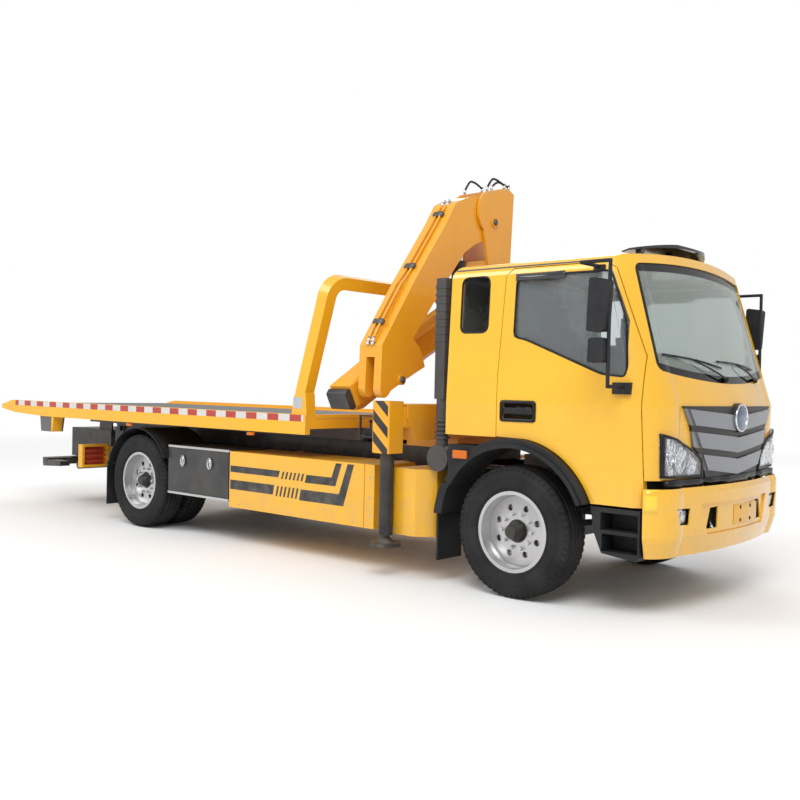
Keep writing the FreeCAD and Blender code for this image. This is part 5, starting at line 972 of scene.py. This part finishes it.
# %% [markdown]
# ## Seals round the windows
# Rubber seals close the gap between glass and metal. From a distance they read as a thin black line that
# sharpens every window.

# %% Window seals
DOOR_WINDOW = [(-0.045, 1.925), (0.060, 1.905), (0.700, 1.655), (0.872, 1.640), (0.888, 1.700),
               (0.868, 2.020), (0.735, 2.372), (0.010, 2.376), (-0.040, 2.335)]
SEAL_RADIUS = 0.008
QUARTER_WINDOW = [(-0.545, 1.965), (-0.285, 1.965), (-0.285, 2.388), (-0.545, 2.388)]


def seal_height(z):
    """How far out the side of the cab is at a height."""
    return abs(land(cab_skin, (-0.20, -1.6, z), (0, 1, 0), 0.0).y)


def flat_seal(name, corners, side, body, round_by):
    bm = bmesh.new()
    flat = dense(rounded([(x, z, 0) for x, z in corners], round_by), 0.05)
    line = [Vector((p.x, side * (seal_height(p.y) - 0.003), p.y)) for p in flat]
    loop_tube(bm, line, SEAL_RADIUS)
    piece(name, bm, trim_black, body)


def seals(side):
    flat_seal("door_seal_" + letter(side), DOOR_WINDOW, side, "door_" + word(side), 0.05)
    flat_seal("quarter_seal_" + letter(side), QUARTER_WINDOW, side, "cab", 0.06)


both_sides(seals)
print("four seals")

# %% [markdown]
# ## The front: badge, plate, fog lamps and intakes
# These small pieces are cut to the outline of their pockets, and the same ray helper finds the face that they
# sit on. The badge and the plate stay blank.

# %% Front pieces
bumper_skin = skin_of("front_bumper")
grille_skin = skin_of("grille")


def dish(name, outline, depths, finish, body, at_x):
    """Rings that shrink towards the middle. Each depth is (share of the outline, distance ahead of at_x)."""
    bm = bmesh.new()
    middle = sum((Vector(p) for p in outline), Vector((0, 0))) / len(outline)
    rings = []
    for share, ahead in depths:
        flat = [middle.lerp(Vector(p), share) for p in outline]
        rings.append([(at_x + ahead, p.x, p.y) for p in flat])
    join_rings(bm, rings)
    piece(name, bm, finish, body)


RING_DEPTHS = [(1.0, -0.012), (1.0, 0.002), (0.97, 0.006), (0.90, 0.006), (0.87, 0.001), (0.87, -0.004),
               (0.5, -0.004)]
DISC_DEPTHS = [(1.0, -0.003), (1.0, 0.000), (0.9, 0.003), (0.6, 0.0065), (0.3, 0.008)]
BADGE = (0, 1.366)
badge_blue = paint("badge_blue", (0.012, 0.045, 0.13), gloss=0.15, coat=1.0, dust=0.0, low=0.2, high=0.3)
face = on_the_face(*BADGE, grille_skin).x
dish("badge_ring", oval(BADGE, 0.113, 0.104), RING_DEPTHS, chrome, "cab", face)
dish("badge_disc", oval(BADGE, 0.0975, 0.0895), DISC_DEPTHS, badge_blue, "cab", face)


def blank_plate():
    """A blank plate on its holder, with four screws."""
    bm = bmesh.new()
    x = max(on_the_face(y, 0.66, bumper_skin).x for y in (-0.09, 0.12, 0.33)) + 0.001
    box(bm, (x, x + 0.003), (-0.094, 0.338), (0.588, 0.732))
    soften(bm, 0.0012)
    piece("front_plate", bm, body_paint, "chassis")
    screws = bmesh.new()
    for y in (0.030, 0.214):
        for z in (0.612, 0.708):
            rod(screws, (x + 0.002, y, z), (x + 0.007, y, z), 0.010, 6)
            rod(screws, (x + 0.002, y, z), (x + 0.004, y, z), 0.015, 20)
    piece("front_plate_screws", screws, trim_black, "chassis")


blank_plate()


BOWL_DEPTHS = [(0.98, -0.075), (0.98, -0.010), (0.90, -0.012), (0.84, -0.040), (0.3, -0.055)]
LENS_DEPTHS = [(0.88, -0.014), (0.88, -0.010), (0.6, -0.006), (0.3, -0.005)]


def fog_lamp(side):
    corners = [(side * 0.737, 0.645), (side * 0.858, 0.652), (side * 0.898, 0.755), (side * 0.722, 0.747)]
    outline = rounded_flat(corners, 0.03)
    at = on_the_face(side * 0.80, 0.782, bumper_skin).x - 0.006
    dish("fog_bowl_" + letter(side), outline, BOWL_DEPTHS, chrome, "chassis", at)
    dish("fog_lens_" + letter(side), outline, LENS_DEPTHS, lamp_glass, "chassis", at)
    bulb = bmesh.new()
    ball(bulb, (at - 0.040, side * 0.805, 0.700), 0.014)
    piece("fog_bulb_" + letter(side), bulb, lamp_glass, "chassis")


def intake_mesh(side):
    """A woven grid behind each opening of the bumper."""
    bm = bmesh.new()
    at = on_the_face(side * 0.42, 0.565, bumper_skin).x - 0.045
    for k in range(11):
        y = 0.332 + 0.0185 * k
        rod(bm, (at, side * y, 0.575), (at, side * y, 0.755), 0.0028, 8)
    for k in range(9):
        z = 0.582 + 0.021 * k
        rod(bm, (at, side * 0.320, z), (at, side * 0.530, z), 0.0028, 8)
    box(bm, (at - 0.016, at - 0.012), (0.315, 0.535), (0.570, 0.760), side)
    piece("intake_mesh_" + letter(side), bm, trim_black, "chassis")


REFLECTOR_LEVELS = (0.735, 0.79, 0.845, 0.893)
REFLECTOR_THICK = 0.0012
reflector_yellow = paint("reflector_yellow", (0.95, 0.62, 0.02), 0.2, 1.0, dust=0.0, low=0.2, high=0.3)


def corner_reflector(side):
    """A thin sheet through a grid of points, laid on the bumper's corner from the side."""
    bm = bmesh.new()
    inwards = Vector((0, -side, 0))
    rows = []
    for z in REFLECTOR_LEVELS:
        starts = [(1.042 + 0.0115 * k, side * 1.4, z) for k in range(7)]
        rows.append([bm.verts.new(land(bumper_skin, start, inwards, REFLECTOR_THICK)) for start in starts])
    for low, high in zip(rows, rows[1:]):
        for k in range(len(low) - 1):
            bm.faces.new([low[k], low[k + 1], high[k + 1], high[k]])
    made = bmesh.ops.extrude_face_region(bm, geom=list(bm.faces), use_keep_orig=True)
    back = [v for v in made["geom"] if isinstance(v, bmesh.types.BMVert)]
    bmesh.ops.translate(bm, verts=back, vec=inwards * REFLECTOR_THICK)
    piece("corner_reflector_" + letter(side), bm, reflector_yellow, "chassis")


# The heights of a black strip that stands in as painted shade between the cab's face and the bumper.
SHADE_BAND_LOW, SHADE_BAND_HIGH = 0.899, 0.947


def painted_shade_band():
    """A black strip set a little behind the cab's face and the bumper: painted shade in the gap between them.
    """
    bm = bmesh.new()
    rings = []
    for k in range(33):
        y = -0.96 + 0.06 * k
        reach = on_the_face(y, 0.975, cab_skin, 0.012).x
        rings.append([(x, y, z) for x, z in corners_of((reach - 0.05, reach), (SHADE_BAND_LOW, SHADE_BAND_HIGH))])
    join_rings(bm, rings)
    piece("front_dark_band", bm, trim_black, "chassis")


both_sides(fog_lamp, intake_mesh, corner_reflector)
painted_shade_band()
print("badge, plate, fog lamps, intakes, reflectors and the dark band")

# %% [markdown]
# ## Doors, mirrors and markers
# The mirrors' glass faces backwards and is set in its housing. The door handle is black plastic round a
# pocket. Small details like these decide whether a render looks real, because the eye knows their size.

# %% Doors, mirrors and markers
def frame_plate(bm, outer, inner, y, thick, side):
    """A flat frame in the plane of a side: its two outlines have as many points as each other."""
    levels = ((outer, y), (outer, y + thick), (inner, y + thick), (inner, y))
    join_rings(bm, [[(x, side * level, z) for x, z in outline] for outline, level in levels], closed=True)


def door_handle(side):
    body = "door_" + word(side)
    surround = bmesh.new()
    frame_plate(surround, rounded_flat(corners_of((-0.136, 0.178), (1.300, 1.458)), 0.03),
                rounded_flat(corners_of((-0.108, 0.152), (1.324, 1.434)), 0.022), 1.1045, 0.008, side)
    box(surround, (-0.108, 0.152), (1.086, 1.0885), (1.322, 1.436), side)
    piece("door_handle_surround_" + letter(side), surround, trim_black, body)
    lever = bmesh.new()
    box(lever, (-0.106, 0.150), (1.0885, 1.1085), (1.356, 1.403), side)
    soften(lever, 0.006, 3)
    piece("door_handle_" + letter(side), lever, dark_plastic, body)


def rain_guard(side):
    """The smoky shade over the door window."""
    bm = bmesh.new()
    rings = []
    for k in range(25):
        x = -0.050 + 0.0175 * k
        out = 0.034 * math.sin(math.pi * min(k, 24 - k) / 24) + 0.004
        section = ((2.392, 0.000), (2.392, 0.004), (2.372, out * 0.8), (2.340, out), (2.340, out - 0.003),
                   (2.370, out * 0.8 - 0.004))
        rings.append([(x, side * (seal_height(z) + reach), z) for z, reach in section])
    join_rings(bm, rings)
    piece("rain_guard_" + letter(side), bm, visor_plastic, "door_" + word(side))


def side_marker(side):
    bm = bmesh.new()
    arch_skin = skin_of("wheel_arches")
    out = max(side * land(arch_skin, (x, side * 1.6, z), (0, -side, 0), 0.0).y
              for x in (-0.50, -0.45, -0.39) for z in (1.01, 1.06))
    box(bm, (-0.514, -0.380), (out - 0.004, out + 0.013), (1.004, 1.066), side)
    soften(bm, 0.005, 3)
    piece("side_marker_" + letter(side), bm, amber_glass, "cab")


MIRROR_MIDDLE = 1.340
MIRROR_PLACES = [(1.948, 2.268, 0.7378, 0.7525, 0.036), (1.742, 1.874, 0.7440, 0.7508, 0.028)]


def mirror_glass(side):
    """The two mirrors look backwards, each a little inside the edge of its housing."""
    bm = bmesh.new()
    for low, high, at_low, at_high, half in MIRROR_PLACES:
        lean = (at_high - at_low) / (high - low)
        points = rounded_flat(corners_of((MIRROR_MIDDLE - half, MIRROR_MIDDLE + half), (low, high)), 0.02)
        plate(bm, [(at_low + lean * (z - low), side * y, z) for y, z in points], (-0.0025, 0, 0))
    piece("mirror_glass_" + letter(side), bm, chrome, "door_" + word(side))


both_sides(door_handle, side_marker, mirror_glass, rain_guard)
print("handles, rain guards, markers and mirrors")

# %% [markdown]
# ## The sides: stripes, tape and latches
# Stickers are thin sheets laid on the panel. The stripes break into slanted bars, then turn up at the end. The
# tape along the bed is one sheet: its red and silver fields come from the shader, which counts along the bed.

# %% Stripes, tape and latches
STICKER_THICK = 0.0008


def sticker(bm, corners, y, side):
    plate(bm, [(x, side * y, z) for x, z in corners], (0, side * STICKER_THICK, 0))


UPPER_BAND = [(-3.227, 0.694), (-2.543, 0.694), (-2.520, 0.755), (-3.227, 0.755)]
UPPER_TURN = [(-2.190, 0.675), (-1.806, 0.675), (-1.734, 0.873), (-1.805, 0.873), (-1.855, 0.746),
              (-2.168, 0.746)]
LOWER_BAND = [(-3.227, 0.531), (-2.611, 0.531), (-2.594, 0.620), (-3.227, 0.620)]
LOWER_TURN = [(-2.259, 0.513), (-1.706, 0.513), (-1.588, 0.875), (-1.664, 0.875), (-1.762, 0.611),
              (-2.240, 0.611)]
SLANTED_BARS = ((0.684, 0.751, -2.505), (0.522, 0.616, -2.575))


def face_of(name):
    """How far out from the middle of the truck a part reaches."""
    return max(abs(corner.y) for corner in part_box(name))


def stripes(side):
    face = face_of("side_skirts")
    bm = bmesh.new()
    for corners in (UPPER_BAND, LOWER_BAND):
        sticker(bm, corners, face, side)
    for low, high, start in SLANTED_BARS:
        for k in range(6):
            x = start + 0.052 * k
            sticker(bm, [(x, low), (x + 0.024, low), (x + 0.047, high), (x + 0.023, high)], face, side)
    for corners in (UPPER_TURN, LOWER_TURN):
        sticker(bm, corners[:2] + corners[4:], face, side)
        sticker(bm, corners[1:5], face, side)
    piece("panel_stripes_" + letter(side), bm, frame_paint, "chassis", smooth=False)


TAPE_FIELD = 0.30
TAPE_SILVER = ((0.62, 0.60, 0.58), 0.35, 0.0)
TAPE_RED = ((0.42, 0.035, 0.02), 0.35, 0.0)


def on_red_field(x, y, z):
    """Every other field of the tape along the bed."""
    return (x / TAPE_FIELD).fraction() < 0.5


tape_finish = two_tone("tape_finish", on_red_field, TAPE_SILVER, TAPE_RED)


def bed_tape(side):
    bm = bmesh.new()
    sticker(bm, corners_of((-7.360, -2.150), (1.2165, 1.2755)), 1.2202, side)
    piece("bed_tape_" + letter(side), bm, tape_finish, "bed", smooth=False)


# A bright metal sheet on the headboard hoop's outer face: painted highlight where light falls on that face.
def hoop_painted_highlight(side):
    bm = bmesh.new()
    sticker(bm, corners_of((-2.300, -2.185), (1.330, 1.430)), 1.2055, side)
    piece("hoop_painted_highlight_" + letter(side), bm, bright_metal, "bed", smooth=False)


def bed_marker(side):
    """Amber lamps under the edge of the bed, each on a small bracket."""
    bm = bmesh.new()
    stays = bmesh.new()
    for x in (-2.880, -4.883):
        box(bm, (x - 0.045, x + 0.045), (1.188, 1.214), (1.062, 1.092), side)
        box(stays, (x - 0.020, x + 0.020), (1.186, 1.200), (1.090, 1.104), side)
    soften(bm, 0.005, 3)
    piece("bed_marker_" + letter(side), bm, amber_glass, "bed")
    piece("bed_marker_stays_" + letter(side), stays, frame_paint, "bed")


def locker_latch(side):
    """Two ring pulls in pressed dishes on each locker lid."""
    face = face_of("locker_lid_" + letter(side))
    out = side * (face + 0.005)
    dishes, rings = bmesh.new(), bmesh.new()
    for x in (-3.978, -3.542):
        outer, inner = oval((x, 0.7465), 0.038, 0.056, 40), oval((x, 0.7465), 0.030, 0.047, 40)
        frame_plate(dishes, outer, inner, face, 0.003, side)
        sticker(dishes, inner, face, side)
        loop_tube(rings, [Vector((a, out, b)) for a, b in oval((x, 0.7395), 0.019, 0.031, 32)], 0.0032, 10)
        rod(rings, (x - 0.016, out, 0.772), (x + 0.016, out, 0.772), 0.005, 14)
    piece("latch_dishes_" + letter(side), dishes, bright_metal, "lid_" + word(side))
    piece("latch_rings_" + letter(side), rings, chrome, "lid_" + word(side))


SCREW_PLACES = [(x, 0.395) for x in (-3.10, -2.40, -1.60)] + [(-1.405, z) for z in (0.46, 0.62, 0.78)]


def panel_screws(side):
    face = face_of("side_skirts")
    bm = bmesh.new()
    for x, z in SCREW_PLACES:
        rod(bm, (x, side * face, z), (x, side * (face + 0.004), z), 0.009, 12, 0.006)
    piece("panel_screws_" + letter(side), bm, bright_metal, "chassis")


both_sides(stripes, bed_tape, hoop_painted_highlight, bed_marker, locker_latch, panel_screws)
print("stripes, tape, patches, markers and latches")

# %% [markdown]
# ## The tail lamps
# Each tail lamp sits in a yellow cage. Behind it are two red lenses, with an amber one between them.

# %% Tail lamps
LENSES = [(0.785, 0.865, red_glass), (0.875, 0.955, amber_glass), (0.965, 1.045, red_glass)]


def tail_lenses(side):
    low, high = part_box("tail_lamps")
    back = low.x - AXLE
    for number, (start, end, finish) in enumerate(LENSES):
        bm = bmesh.new()
        box(bm, (back - 0.008, back - 0.0005), (start, end), (low.z + 0.045, high.z - 0.045), side)
        soften(bm, 0.003)
        piece("tail_lens_%d_%s" % (number + 1, letter(side)), bm, finish, "chassis")


both_sides(tail_lenses)
print("six lenses")

# %% [markdown]
# ## Hydraulic hoses
# Oil reaches the crane's cylinders through pipes and hoses with pressed steel ends. Each is a tube along a
# smooth line. It starts and ends on the same moving part and is held there, so it turns with that part.

# %% Hoses and clamps
boom_skin = skin_of("inner_boom")
mast_skin = skin_of("crane_column")


def hose_line(name, points, radius, body, finish):
    line = curve_through(points, 8)
    bm = bmesh.new()
    hose(bm, line, radius, 14)
    piece(name, bm, finish, body)
    ends = bmesh.new()
    for a, b in ((line[0], line[1]), (line[-1], line[-2])):
        way = (b - a).normalized()
        rod(ends, a - way * 0.004, a + way * 0.050, radius * 1.28, 18)
        rod(ends, a - way * 0.022, a + way * 0.004, radius * 1.45, 6)
    piece(name + "_ends", ends, bright_metal, body)


def boom_face(x, z, off):
    """A point on the boom's long sloping front face."""
    return land(boom_skin, (x, -2.0, z), (0, 1, 0), off)


for number, x in enumerate((-1.405, -1.352)):
    route = [boom_face(x, 1.90 + 0.1 * k, 0.020) for k in range(14)]
    hose_line("boom_pipe_%d" % (number + 1), route, 0.011, "inner_boom", crane_paint)
clips = bmesh.new()
for z in (2.05, 2.55, 3.05):
    low, high = boom_face(-1.378, z, 0.004), boom_face(-1.378, z + 0.035, 0.004)
    way = (high - low).normalized()
    out = Vector((0, -way.z, way.y))
    across = Vector((0.050, 0, 0))
    corners = [low - across, low + across, high + across, high - across]
    plate(clips, [corner - out * 0.003 for corner in corners], out * 0.034)
    middle = (low + high) / 2
    rod(clips, middle + out * 0.028, middle + out * 0.040, 0.009, 6)
piece("boom_pipe_clips", clips, cast_metal, "inner_boom")
print("two pipes along the boom, with three clips")

# %% [markdown]
# Three more hoses stand up in loose arches on the two side plates of the crane's column. The space between the
# plates stays free, because the root of the boom swings up through it.

# %% Hose loops, pin caps and lever knobs
def top_at(x, y):
    """The height of the column's side plate."""
    return land(mast_skin, (x, y, 3.8), (0, 0, -1), 0.0).z


for number, (x, near) in enumerate(((-1.520, 0.20), (-1.232, 0.16), (-1.232, 0.23))):
    far = near + 0.26
    low, high = top_at(x, near), top_at(x, far)
    crest = 3.500 - 0.018 * number
    arch = [(x, near, low - 0.005), (x, near - 0.004, low + 0.030), (x, near + 0.070, crest - 0.010),
            (x, near + 0.130, crest), (x, near + 0.200, crest - 0.014), (x, far + 0.004, high + 0.026),
            (x, far, high - 0.005)]
    hose_line("boom_loop_%d" % (number + 1), arch, 0.010, "crane_column", hose_rubber)


def pin_cap(name, end, body):
    """A pin's round cap, with three screws that hold its keeper plate."""
    bm = bmesh.new()
    end = Vector(end)
    rod(bm, end, end + Vector((0.008, 0, 0)), 0.030, 32)
    for k in range(3):
        turn = math.radians(90 + 120 * k)
        at = end + Vector((0.008, 0.018 * math.cos(turn), 0.018 * math.sin(turn)))
        rod(bm, at, at + Vector((0.005, 0, 0)), 0.005, 6)
    piece(name, bm, cast_metal, body)


pin_cap("root_pin_cap", (-1.206, 0.262, 3.080), "crane_column")
pin_cap("tip_pin_cap", (-1.232, -0.962, 1.598), "inner_boom")

knobs = bmesh.new()
for k in range(5):
    ball(knobs, (-1.360 - 0.026 * k, -1.090, 1.2475), 0.014, rings=14)
piece("lever_knobs", knobs, trim_black, "chassis")
print("hose loops, two pin caps and five lever knobs")

# %% [markdown]
# ## Sizes
# The last step measures what was made and prints its size.

# %% Sizes and finish
bpy.context.view_layer.update()
corners = [shown.matrix_world @ Vector(corner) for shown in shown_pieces() for corner in shown.bound_box]
low = [min(corner[axis] for corner in corners) for axis in range(3)]
high = [max(corner[axis] for corner in corners) for axis in range(3)]
print("visual box", [round(v, 3) for v in low], [round(v, 3) for v in high])
